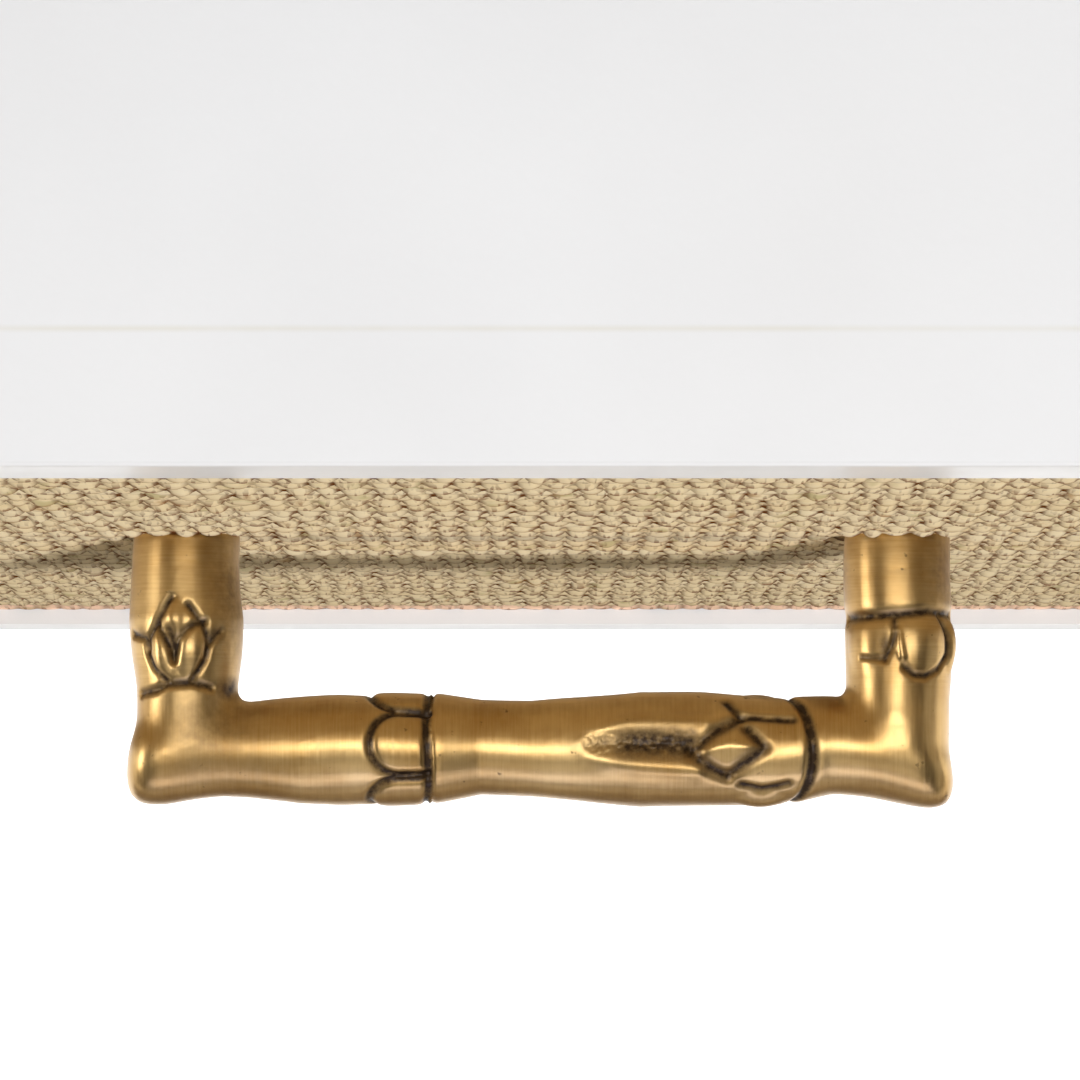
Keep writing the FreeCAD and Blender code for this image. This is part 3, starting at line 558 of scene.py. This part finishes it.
def tube(profile, origin, axis, up, push):
    """Turned shape along an axis from rows of place, radius and push."""
    origin, axis, up, push = (np.asarray(v, float) for v in (origin, axis, up, push))
    side = np.cross(axis, up)
    angle = np.linspace(0, 2 * math.pi, TUBE_TURNS, endpoint=False)
    ring = np.cos(angle)[:, None] * up + np.sin(angle)[:, None] * side
    rings = [origin + axis * place + push * shift + ring * max(radius, LEAST_RADIUS)
             for place, radius, shift in profile]
    points = np.concatenate(rings)
    grid = np.arange(len(points)).reshape(len(profile), TUBE_TURNS)
    after = np.roll(grid, -1, axis=1)
    quads = quads_of(grid[:-1], after[:-1], after[1:], grid[1:])
    caps = [list(grid[0][::-1]), list(grid[-1])]
    return points, quads.tolist() + caps


def smoothed(mesh, name, setup):
    """Mesh after the modifiers that setup adds to it."""
    made = bpy.data.objects.new(name, mesh)
    bpy.context.scene.collection.objects.link(made)
    setup(made)
    bpy.context.view_layer.update()
    result = bpy.data.meshes.new_from_object(made.evaluated_get(bpy.context.evaluated_depsgraph_get()))
    bpy.data.objects.remove(made)
    return result


def soften(piece, name, rounds):
    """Smoothing modifier, run so many times."""
    made = piece.modifiers.new(name, "SMOOTH")
    made.factor = 0.5
    made.iterations = rounds
    return made


def run_together(piece):
    """Makes one skin of the crossing tubes."""
    remesh = piece.modifiers.new("remesh", "REMESH")
    remesh.mode = "VOXEL"
    remesh.voxel_size = VOXEL * MM
    soften(piece, "soften", SEAM_ROUNDS)


def share_past(value, start, length):
    """How far a value is past a start, from 0 to 1 over a length."""
    return min(max((value - start) / length, 0), 1)


def round_elbows(piece):
    """Smooths the two elbows, where bar and posts meet, until no seam shows."""
    group = piece.vertex_groups.new(name="elbows")
    for point in piece.data.vertices:
        place, out = abs(point.co.x) / MM, -point.co.y / MM
        weight = share_past(place, *ELBOW_ALONG) * share_past(out, *ELBOW_OUT)
        if weight > 0:
            group.add([point.index], weight, "REPLACE")
    soften(piece, "elbows", ELBOW_ROUNDS).vertex_group = "elbows"


def blank_casting():
    """Bar with its outer heels and two posts, run together by remeshing."""
    out, up = (0, -1, 0), (0, 0, 1)
    parts = [
        tube(BAR, (0, -REACH, 0), (1, 0, 0), up, out),
        tube(LEFT_POST, (-CENTRES / 2, 0, 0), out, up, (1, 0, 0)),
        tube(RIGHT_POST, (CENTRES / 2, 0, 0), out, up, (1, 0, 0)),
    ]
    points, faces, count = [], [], 0
    for co, polys in parts:
        points.extend(map(tuple, co * MM))
        faces.extend([[i + count for i in poly] for poly in polys])
        count += len(co)
    mesh = bpy.data.meshes.new("handle_blank")
    mesh.from_pydata(points, [], faces)
    return smoothed(smoothed(mesh, "handle_blank", run_together), "handle_smooth", round_elbows)


def line_distance(points, line):
    """Least distance of flat points to a broken line."""
    best = np.full(len(points), FAR)
    for start, end in zip(line[:-1], line[1:]):
        start, run = np.array(start), np.array(end) - np.array(start)
        part = np.clip(((points - start) @ run) / max(run @ run, 1e-9), 0, 1)
        best = np.minimum(best, np.linalg.norm(points - start - part[:, None] * run, axis=1))
    return best


def unroll(line, radius):
    """Rows of place and offset, drawn flat over a round: the offset becomes arc length."""
    def arc(offset):
        return radius * math.asin(max(-ROUND_LIMIT, min(ROUND_LIMIT, offset / radius)))
    return [(place, arc(offset)) for place, offset in line]


def over_bar(line):
    """Line on the bar, given as place along it and offset."""
    return unroll(line, BAR_RADIUS)


def over_post(line):
    """Line on a post, given as offset across it and distance out."""
    return unroll([(out, offset) for offset, out in line], POST_RADIUS)


def line_off(flat, near, line):
    """Distance to a line for the points near it."""
    away = np.full(len(flat), FAR)
    away[near] = line_distance(flat[near], line)
    return away


def oval_off(flat, near, centre, size):
    """Distance to the middle of an oval for the points near it, 1 at its edge."""
    away = np.full(len(flat), FAR)
    away[near] = np.linalg.norm((flat[near] - np.array(centre)) / np.array(size), axis=1)
    return away


class Carving:
    """Heights, dark patina and painted shade worked into the casting, one stroke at a time."""

    def __init__(self, count):
        self.height = np.zeros(count)
        self.patina = np.zeros(count)

    def darken(self, amount):
        self.patina = np.maximum(self.patina, amount)

    def groove(self, flat, near, line, width, depth, dark=0.95, fade=1.0):
        away = line_off(flat, near, line)
        self.height -= fade * depth * np.exp(-(away / width) ** 2)
        self.darken(dark * np.exp(-(away / (SOOT_SPREAD * width)) ** 2))

    def ridge(self, flat, near, line, width, rise, fade=1.0):
        away = line_off(flat, near, line)
        self.height += fade * rise * np.exp(-(away / width) ** 2)

    def roughen(self, flat, near, line, width, size):
        away = line_off(flat, near, line)
        grit = np.random.default_rng(SEED).standard_normal(len(flat))
        self.height += size * grit * np.exp(-(away / width) ** 4)

    def pad(self, flat, near, centre, size, rise):
        away = oval_off(flat, near, centre, size)
        self.height += rise * np.clip(1 - away ** 2, 0, 1) ** 1.5

    def stain(self, flat, near, centre, size, dark):
        away = oval_off(flat, near, centre, size)
        self.darken(dark * np.exp(-away ** 2))


# Tulip on the left post: offset across the post, distance out
PETALS = [
    [(-3.4, 26.6), (-5.4, 24.6), (-6.6, 21.7), (-6.3, 19.0), (-4.8, 16.6), (-3.6, 18.6), (-2.7, 20.4),
     (-1.9, 23.2)],
    [(-1.9, 23.2), (-1.0, 19.3), (0.2, 17.8), (1.6, 16.7), (3.6, 16.2)],
    [(3.2, 16.3), (4.2, 19.9), (3.8, 22.7), (1.6, 26.4)],
    [(-2.3, 11.9), (-3.2, 13.2), (-4.4, 15.4), (-4.8, 16.6)],
    [(0.7, 13.2), (1.8, 14.7), (2.4, 15.6)],
    [(-9.0, 18.2), (-7.1, 19.0), (-6.4, 21.0)],
    [(6.2, 17.8), (4.5, 19.8)],
]
TULIP_HEART = [(-2.6, 17.6), (-2.0, 19.4), (-1.8, 21.0)]
TULIP_BASE = [(-8.4, 28.8), (-5.4, 28.2), (-3.2, 27.3), (1.6, 27.0), (5.2, 27.8)]
TULIP_PADS = [((-4.3, 21.8), (2.5, 5.4)), ((1.2, 21.4), (3.0, 5.6)), ((-1.9, 15.4), (2.0, 3.8))]

# Darkened spots on the left post, one of them wide over one side: distance out and arc across, size of
# the spot, strength
LEFT_STAINS = [((28.0, 10.0), (2.2, 4.2), 0.9), ((18.6, 5.8), (2.0, 2.6), 0.75),
               ((18.0, -8.2), (1.2, 2.0), 0.5), ((11.0, 10.0), (14.0, 6.0), 0.55)]

# Sheaths on the right post, and its darkened spots
SHEATH_RING = [(-9.5, 15.4), (-5.7, 15.2), (-0.5, 15.0), (5.2, 14.4), (9.5, 14.8)]
SHEATH_SPLIT = [(-1.3, 15.4), (-0.9, 18.2), (-1.6, 20.6), (-3.0, 22.8)]
SHEATH_LEFT = [(-7.0, 22.4), (-4.8, 22.6), (-3.0, 22.9)]
SHEATH_RIGHT = [(7.5, 15.2), (8.5, 18.6), (8.6, 21.8), (7.1, 24.5), (4.8, 25.8), (2.6, 25.6),
                (0.8, 24.3)]
SHEATH_RIB = [(-0.4, 17.6), (0.4, 22.4)]
SHEATH_TAIL = [(0.2, 24.6), (-0.4, 28.0), (-0.9, 32.0)]
RIGHT_STAINS = [((20.6, -2.6), (2.2, 1.5), 0.85), ((7.0, 9.5), (10.0, 5.5), 0.5)]

# Bud scales and rings on the bar: place along it, offset outward
BUD_PLACE, BUD_SIZE, BUD_COUNT, BUD_TURN = -25.2, 5.45, 5, -6.0
BUD_ROUND = 9.2
BUD_GROOVE, BUD_DOME, WEDGE_DEPTH = 0.55, 0.75, 0.25
LEFT_RING, RING_CURVE = -20.4, 0.25
RIGHT_RING, RIGHT_CURVE, RIGHT_TURN = 48.0, 1.9, 0.12

# Depth and width of the grooves round the bar, and how much wider the soot in a groove is
LEFT_CUT, RIGHT_CUT = (0.62, 0.75), (0.7, 0.95)
BUD_WIDTH, SOOT_MARGIN = 0.75, 0.1

# Leaf scar and diamond bud
SCAR_TOP = [(6.8, -1.8), (8.4, -3.2), (14.5, -4.5), (21.0, -4.7), (29.0, -4.9)]
SCAR_LOW = [(6.4, -0.8), (8.0, 1.1), (11.9, 2.3), (20.0, 3.1), (27.5, 3.7)]
SCAR_FLOOR = [(9.0, -1.0), (14.0, -1.1), (20.0, -0.9), (25.6, -0.5)]
SCAR_DARK = [(15.0, -0.9), (20.0, -1.1), (25.4, -0.9)]
DIAMOND = [
    [(26.6, 0.4), (30.6, -3.0), (35.4, -5.5)],
    [(26.6, 0.9), (29.8, 3.2), (33.0, 4.8)],
    [(36.2, -3.6), (39.4, -0.2), (33.8, 4.1)],
]
DIAMOND_RIDGE = [(27.4, 0.6), (33.0, -0.8), (38.6, -0.3)]
BAR_PETALS = [[(32.8, -8.0), (35.2, -5.7), (44.4, -5.2)], [(35.3, 6.1), (39.0, 6.9), (43.6, 6.1)]]


def around(angle, period):
    """Angle brought within half a period of zero."""
    return (angle + period / 2) % period - period / 2


def carve_buds(work, place, angle, on_bar):
    """Ring of bud scales: a groove round each, a dome in it, and sooty wedges between."""
    turned = around(angle - math.radians(BUD_TURN), 2 * math.pi / BUD_COUNT)
    zone = on_bar & (np.abs(place - BUD_PLACE) < 11) & (place < LEFT_RING + 0.6)
    radius = np.hypot(np.minimum(place - BUD_PLACE, 0), turned * BUD_ROUND)
    away = np.where(zone, np.abs(radius - BUD_SIZE), FAR)
    work.height -= BUD_GROOVE * np.exp(-(away / BUD_WIDTH) ** 2)
    work.darken(0.95 * np.exp(-(away / (BUD_WIDTH + SOOT_MARGIN)) ** 4))
    wedge = zone & (radius > BUD_SIZE) & (place > BUD_PLACE - 1.0)
    work.darken(np.where(wedge, 0.85, 0.0))
    work.height -= np.where(wedge, WEDGE_DEPTH, 0.0)
    dome = np.sqrt(np.clip(1 - (radius / BUD_SIZE) ** 2, 0, 1))
    work.height += np.where(zone, BUD_DOME * dome, 0)


def carve_rings(work, place, angle, on_bar):
    """The two ringed joints of the bamboo."""
    left = np.abs(place - LEFT_RING - RING_CURVE * np.sin(3 * angle))
    half = around(angle - RIGHT_TURN, math.pi)
    right = np.abs(place - RIGHT_RING + RIGHT_CURVE * half ** 2)
    for away, (depth, width) in ((left, LEFT_CUT), (right, RIGHT_CUT)):
        near = on_bar & (away < 8)
        work.height -= np.where(near, depth * np.exp(-(away / width) ** 2), 0)
        work.darken(np.where(near, np.exp(-(away / (width + SOOT_MARGIN)) ** 4), 0))


def carve_scar(work, place, flat, zone):
    """Scooped leaf scar with raised edges and a rough, sooty floor."""
    open_up = np.clip((place - 3) / 12, 0, 1)
    for line in (SCAR_TOP, SCAR_LOW):
        work.ridge(flat, zone, over_bar(line), width=1.5, rise=0.42, fade=open_up)
    work.groove(flat, zone, over_bar(SCAR_FLOOR), width=2.3, depth=1.15, dark=0.0, fade=open_up)
    work.roughen(flat, zone, over_bar(SCAR_FLOOR), width=2.0, size=0.09)
    work.groove(flat, zone, over_bar(SCAR_DARK), width=2.6, depth=0.0, dark=0.97)
    work.stain(flat, zone, (12.0, -1.0), (5.0, 1.8), dark=0.6)


def carve_diamond(work, flat, zone):
    """Diamond bud with a ridge over it, and the petals beside it."""
    work.pad(flat, zone, (33.4, -0.2), (6.4, 4.6), rise=0.55)
    work.ridge(flat, zone, over_bar(DIAMOND_RIDGE), width=1.3, rise=0.4)
    for line in DIAMOND:
        work.groove(flat, zone, over_bar(line), width=1.1, depth=0.75)
    for line in BAR_PETALS:
        work.groove(flat, zone, over_bar(line), width=0.8, depth=0.6)
    work.pad(flat, zone, (39.0, 11.4), (5.0, 3.4), rise=0.9)


def carve_bar(work, place, angle, on_bar):
    """Buds and rings all round; leaf scar and diamond bud, the same above and below."""
    carve_buds(work, place, angle, on_bar)
    carve_rings(work, place, angle, on_bar)
    flat = np.stack([place, around(angle, math.pi) * BAR_RADIUS], axis=1)
    zone = on_bar & (place > 0) & (place < 50)
    carve_scar(work, place, flat, zone)
    carve_diamond(work, flat, zone)


def carve_left_post(work, out, angle, on_post):
    """Tulip and collar, the same above and below."""
    flat = np.stack([out, around(angle, math.pi) * POST_RADIUS], axis=1)
    for centre, size in TULIP_PADS:
        work.pad(flat, on_post, over_post([centre])[0], size[::-1], rise=0.65)
    for line in PETALS:
        work.groove(flat, on_post, over_post(line), width=0.62, depth=0.55)
    work.groove(flat, on_post, over_post(TULIP_HEART), width=0.9, depth=0.5)
    work.groove(flat, on_post, over_post(TULIP_BASE), width=0.7, depth=0.6)
    for stain in LEFT_STAINS:
        work.stain(flat, on_post, *stain)


def carve_right_post(work, out, angle, on_post):
    """Collar and sheaths, the same above and below."""
    flat = np.stack([out, around(angle, math.pi) * POST_RADIUS], axis=1)
    work.pad(flat, on_post, (20.0, -8.0), (5.6, 5.0), rise=0.4)
    work.pad(flat, on_post, (20.2, 5.0), (6.4, 6.0), rise=0.6)
    work.pad(flat, on_post & (angle > 0), (20.2, 12.4), (5.6, 2.7), rise=0.9)
    work.groove(flat, on_post, over_post(SHEATH_RING), width=0.7, depth=0.55)
    for line in (SHEATH_SPLIT, SHEATH_RIGHT):
        work.groove(flat, on_post, over_post(line), width=0.6, depth=0.55)
    work.groove(flat, on_post, over_post(SHEATH_LEFT), width=0.5, depth=0.35, dark=0.8)
    work.ridge(flat, on_post, over_post(SHEATH_RIB), width=0.6, rise=0.5)
    work.ridge(flat, on_post, over_post(SHEATH_TAIL), width=1.6, rise=0.15)
    for stain in RIGHT_STAINS:
        work.stain(flat, on_post, *stain)


# Painted shade in the left elbow, dulling its highlight: place along the bar, distance out, spread,
# strength
ELBOW_SHADE = (-59.5, 35.0, 9.0, 0.45)

# Where strokes reach: half the bar and its start, half a post and its end, in millimetres
BAR_ZONE = (56, 20)
POST_ZONE = (13, 34)

# Painted shade on the bar's outer side, and where the brushing turns from posts to bar
OUTER_SHADE = 0.2
BRUSH_TURN, BRUSH_BLEND = 8, 6

# Waves of the hand finish, in millimetres
FINISH_WAVES = (46.0, 31.0, 22.0, 17.0, 13.0)


def hand_finish(co):
    """Slow unevenness of a hand-worked pattern, in the range of about one."""
    rng = np.random.default_rng(SEED)
    total = np.zeros(len(co))
    for length in FINISH_WAVES:
        run = rng.standard_normal(3)
        run *= 2 * math.pi / length / np.linalg.norm(run)
        total += np.sin(co @ run + rng.uniform(0, 2 * math.pi)) * length / FINISH_WAVES[0]
    return total


def read_points(mesh):
    """Places of a mesh's points in millimetres, and the directions they face."""
    co = np.zeros(len(mesh.vertices) * 3, np.float32)
    normal = np.zeros_like(co)
    mesh.vertices.foreach_get("co", co)
    mesh.vertex_normals.foreach_get("vector", normal)
    return co.reshape(-1, 3).astype(float) / MM, normal.reshape(-1, 3).astype(float)


def carve_handle(co, normal):
    """All strokes, patina, painted shade and hand finish of the handle."""
    out = -co[:, 1]
    work = Carving(len(co))
    half, start = BAR_ZONE
    on_bar = (np.abs(co[:, 0]) < half) & (out > start)
    carve_bar(work, co[:, 0], np.arctan2(out - REACH, co[:, 2]), on_bar)
    half, end = POST_ZONE
    for side, carve in ((-1, carve_left_post), (1, carve_right_post)):
        across = co[:, 0] - side * CENTRES / 2
        on_post = (np.abs(across) < half) & (out < end)
        carve(work, out, np.arctan2(across, co[:, 2]), on_post)
    # Painted shade on the bar's outer half, where it faces away from the panel
    under = np.clip((-normal[:, 1] - 0.5) / 0.4, 0, 1) * (out > REACH)
    work.darken(OUTER_SHADE * under)
    # Painted shade that dulls the highlight in the saddle of the left elbow
    place, reach, spread, strength = ELBOW_SHADE
    work.darken(strength * np.exp(-((co[:, 0] - place) ** 2 + (out - reach) ** 2) / spread ** 2))
    work.height += FINISH_DEPTH * hand_finish(co)
    return work


def handle_mesh(material):
    """The finished casting, with its patina and painted shade and the run of its brushing."""
    mesh = blank_casting()
    co, normal = read_points(mesh)
    work = carve_handle(co, normal)
    post = np.clip((REACH - BRUSH_TURN + co[:, 1]) / BRUSH_BLEND, 0, 1)
    co += normal * work.height[:, None]
    mesh.vertices.foreach_set("co", (co * MM).astype(np.float32).ravel())
    mesh.polygons.foreach_set("use_smooth", np.ones(len(mesh.polygons), bool))
    keep_values(mesh, "post", post)
    keep_values(mesh, "patina", np.clip(work.patina, 0, 1))
    mesh.materials.clear()
    mesh.materials.append(material)
    mesh.update()
    return mesh


def handles():
    """Castings in place of every handle and pull, and the screws of the corner brasses."""
    metal = brass("cast_brass", True)
    mesh = handle_mesh(metal)
    for weave in WEAVES:
        node = handle_of(weave)
        body = nodes[node]["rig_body"]
        place_piece(node + "_casting", mesh, body, node, handle_frame(weave))
    place_piece("corner_screws", screw_heads(metal), "case", None, Matrix())


# Slotted screw heads of the corner brasses: radius and height of a ring in millimetres, its patina, which
# at the outer ring is painted shade round the head
SCREW_RINGS = ((0.05, 0.03, 0.1), (2.2, 0.03, 0.1), (2.8, 0.02, 0.45), (3.2, 0.005, 1.0))
SCREW_TURNS = 20
SLOT_LENGTH, SLOT_WIDTH, SLOT_RISE = 5.4, 0.8, 0.035
SCREW_SPOTS = ((58.0, 9.5), (9.5, 58.0), (11.0, 11.0))


def screw_head(centre, along, up, outward, turn):
    """Points and patina of one head: rings of a shallow dome, then its slot, a flat quad painted dark as
    the slot's shade.
    """
    angle = np.linspace(0, 2 * math.pi, SCREW_TURNS, endpoint=False)
    spokes = np.cos(angle)[:, None] * along + np.sin(angle)[:, None] * up
    points = [centre + spokes * radius + outward * rise for radius, rise, _ in SCREW_RINGS]
    patina = np.repeat([dark for _, _, dark in SCREW_RINGS], SCREW_TURNS)
    run = (math.cos(turn) * along + math.sin(turn) * up) * SLOT_LENGTH / 2
    side = np.cross(outward, run) * SLOT_WIDTH / SLOT_LENGTH
    # Painted shade: the slot is a flat quad just above the head, fully dark
    slot = centre + outward * SLOT_RISE + np.array([run + side, side - run, -run - side, run - side])
    return np.concatenate(points + [slot]), np.concatenate([patina, np.ones(4)])


def screw_quads():
    """Faces of one head and its slot."""
    grid = np.arange(len(SCREW_RINGS) * SCREW_TURNS).reshape(len(SCREW_RINGS), SCREW_TURNS)
    after = np.roll(grid, -1, axis=1)
    rings = quads_of(grid[:-1], grid[1:], after[1:], after[:-1])
    return np.concatenate([rings, [np.arange(4) + grid.size]])


def leaf_frames():
    """Corner point, two edge directions and outward direction of each brass leaf that shows."""
    for node in ("bottom_corner_brasses", "top_corner_brasses"):
        low, high = (np.array(corner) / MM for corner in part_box(node))
        for sides in np.ndindex(2, 2):
            for face in range(3):
                ends = np.array([*sides, int(node.startswith("top"))])
                if face == 2 and not ends[2]:
                    continue
                inward = np.diag(1.0 - 2.0 * ends)
                edges = [inward[i] for i in range(3) if i != face]
                yield np.where(ends, high, low), edges[0], edges[1], -inward[face]


def screw_heads(material):
    """One mesh of all the heads, each slot turned its own way."""
    rng = np.random.default_rng(SEED)
    points, patina, quads, count = [], [], [], 0
    for corner, along, up, outward in leaf_frames():
        for first, second in SCREW_SPOTS:
            centre = corner + along * first + up * second
            co, dark = screw_head(centre, along, up, outward, rng.uniform(0, math.pi))
            quads.append(screw_quads() + count)
            points.append(co)
            patina.append(dark)
            count += len(co)
    return mesh_from("corner_screws", np.concatenate(points) * MM, np.concatenate(quads), [material],
                     patina=np.concatenate(patina))


# Finishes of the solids that stay
def dress_solids():
    """Finish of each solid by its slot; bare wood has its grain along the longest side."""
    finishes = {"white_lacquer": lacquer(), "antique_brass": brass("flat_brass", False), "steel": steel()}
    woods = {axis: wood(axis) for axis in "xyz"}
    for name, piece in nodes.items():
        low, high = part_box(name)
        size = high - low
        longest = "xyz"[max(range(3), key=lambda i: size[i])]
        chosen = finishes.get(slots[name], woods[longest])
        if not piece.material_slots:
            piece.data.materials.append(chosen)
        for held in piece.material_slots:
            held.material = chosen


# Studio sheets in metres: half the floor; the dark card's near and far edge, half width and height
FLOOR_HALF = 20.0
CARD_NEAR, CARD_FAR, CARD_HALF, CARD_HEIGHT = 0.6, 2.4, 0.9, 0.004


def flat_sheet(name, low, high, height, material):
    """Level rectangle between two corners, unseen by matt shading."""
    mesh = bpy.data.meshes.new(name)
    corners = (low, (high[0], low[1]), high, (low[0], high[1]))
    mesh.from_pydata([(*corner, height) for corner in corners], [], [(0, 1, 2, 3)])
    mesh.materials.append(material)
    made = bpy.data.objects.new(name, mesh)
    bpy.context.scene.collection.objects.link(made)
    made.visible_diffuse = False
    return made


def floor():
    """Studio floor."""
    sheet = flat_sheet("floor_sheet", (-FLOOR_HALF, -FLOOR_HALF), (FLOOR_HALF, FLOOR_HALF), 0, paper())


def dark_card():
    """Flag under the end handle, a sheet of painted shade that only reflections see, so the bar's outer
    side stays deep.
    """
    card = flat_sheet("dark_card", (CARD_NEAR, -CARD_HALF), (CARD_FAR, CARD_HALF), CARD_HEIGHT, shade_grey())
    card.visible_camera = False
    card.visible_shadow = False


# Colours of the light that differ from white
WARM = (1.0, 0.92, 0.8)
COOL = (0.96, 1.0, 1.35)


def softbox(name, place, target, width, height, power, only=None, tint=(1.0, 1.0, 1.0)):
    """Studio light box; only=... keeps it to matt shading or to reflections."""
    data = bpy.data.lights.new(name, "AREA")
    data.shape = "RECTANGLE"
    data.size = width
    data.size_y = height
    data.energy = power
    data.color = tint
    lamp = bpy.data.objects.new(name, data)
    lamp.location = place
    lamp.rotation_mode = "QUATERNION"
    lamp.rotation_quaternion = (Vector(target) - Vector(place)).to_track_quat("-Z", "Y")
    lamp.visible_camera = False
    lamp.visible_glossy = only != "matt"
    lamp.visible_diffuse = only != "gloss"
    bpy.context.scene.collection.objects.link(lamp)


def lights():
    """Boxes that light the matt colours, cards that the brass and the lacquer reflect, and a dim sky."""
    target = (0.36, 0.02, 0.37)
    softbox("key_box", (1.82, 1.02, 3.79), target, 0.44, 0.60, 170, "matt")
    softbox("end_fill", (3.0, 0.3, 0.55), target, 2.2, 0.9, 17, "matt", WARM)
    softbox("other_end_fill", (-3.2, -0.3, 0.42), (-0.3, 0, 0.35), 2.2, 0.66, 53, "matt")
    softbox("drawer_fill", (-0.75, -3.2, 0.42), (0, -0.2, 0.35), 2.0, 0.66, 101, "matt")
    softbox("back_fill", (-0.75, 3.2, 0.42), (0, 0.2, 0.35), 2.0, 0.66, 90, "matt")
    softbox("overhead_card", (0.3, 0.02, 2.6), target, 1.8, 0.6, 20.5, "gloss")
    softbox("front_card", (2.6, 0.1, 1.25), target, 2.0, 0.8, 12, "gloss", COOL)
    softbox("ceiling_card", (0.5, 0.0, 3.2), target, 3.0, 3.0, 11, "gloss")
    softbox("side_card", (0.36, -2.3, 1.15), target, 1.4, 0.8, 26, "gloss")
    softbox("slope_card", (2.3, 0.05, 2.5), target, 1.8, 1.0, 5, "gloss")
    softbox("rear_card", (0.0, 4.0, 1.6), (0, 0, 0.4), 9.0, 1.6, 27, "gloss")
    softbox("far_end_card", (-4.0, 0.0, 1.6), (0, 0, 0.4), 7.0, 1.6, 21, "gloss")
    softbox("near_side_card", (0.6, -4.0, 1.6), (0, 0, 0.4), 8.0, 1.6, 20, "gloss")
    world = bpy.data.worlds.new("studio")
    bpy.context.scene.world = world
    world.use_nodes = True
    sky = world.node_tree.nodes["Background"]
    sky.inputs["Color"].default_value = (1.0, 0.97, 0.92, 1.0)
    sky.inputs["Strength"].default_value = 0.06


# Camera straight above the end, a little outside it
CAMERA_TILT = math.radians(3.1696)
CAMERA_PLACE = (0.4060, 0.02198, 1.7965)
SENSOR_WIDTH = 36.0
FOCAL_PIXELS = 8000
PHOTO_PIXELS = 1080


def camera():
    """The photograph's camera, looking down with the chest's back to the right."""
    data = bpy.data.cameras.new("camera")
    data.sensor_width = SENSOR_WIDTH
    data.lens = SENSOR_WIDTH * FOCAL_PIXELS / PHOTO_PIXELS
    data.clip_start = 0.05
    data.clip_end = 100.0
    view = bpy.data.objects.new("camera", data)
    right = Vector((0, 1, 0))
    up = Vector((-math.cos(CAMERA_TILT), 0, math.sin(CAMERA_TILT)))
    back = Vector((math.sin(CAMERA_TILT), 0, math.cos(CAMERA_TILT)))
    turn = Matrix((right, up, back)).transposed().to_4x4()
    view.matrix_world = Matrix.Translation(CAMERA_PLACE) @ turn
    bpy.context.scene.collection.objects.link(view)
    bpy.context.scene.camera = view


dress_solids()
woven_panels()
handles()
floor()
dark_card()
lights()
camera()
bpy.context.scene.view_settings.view_transform = "Standard"
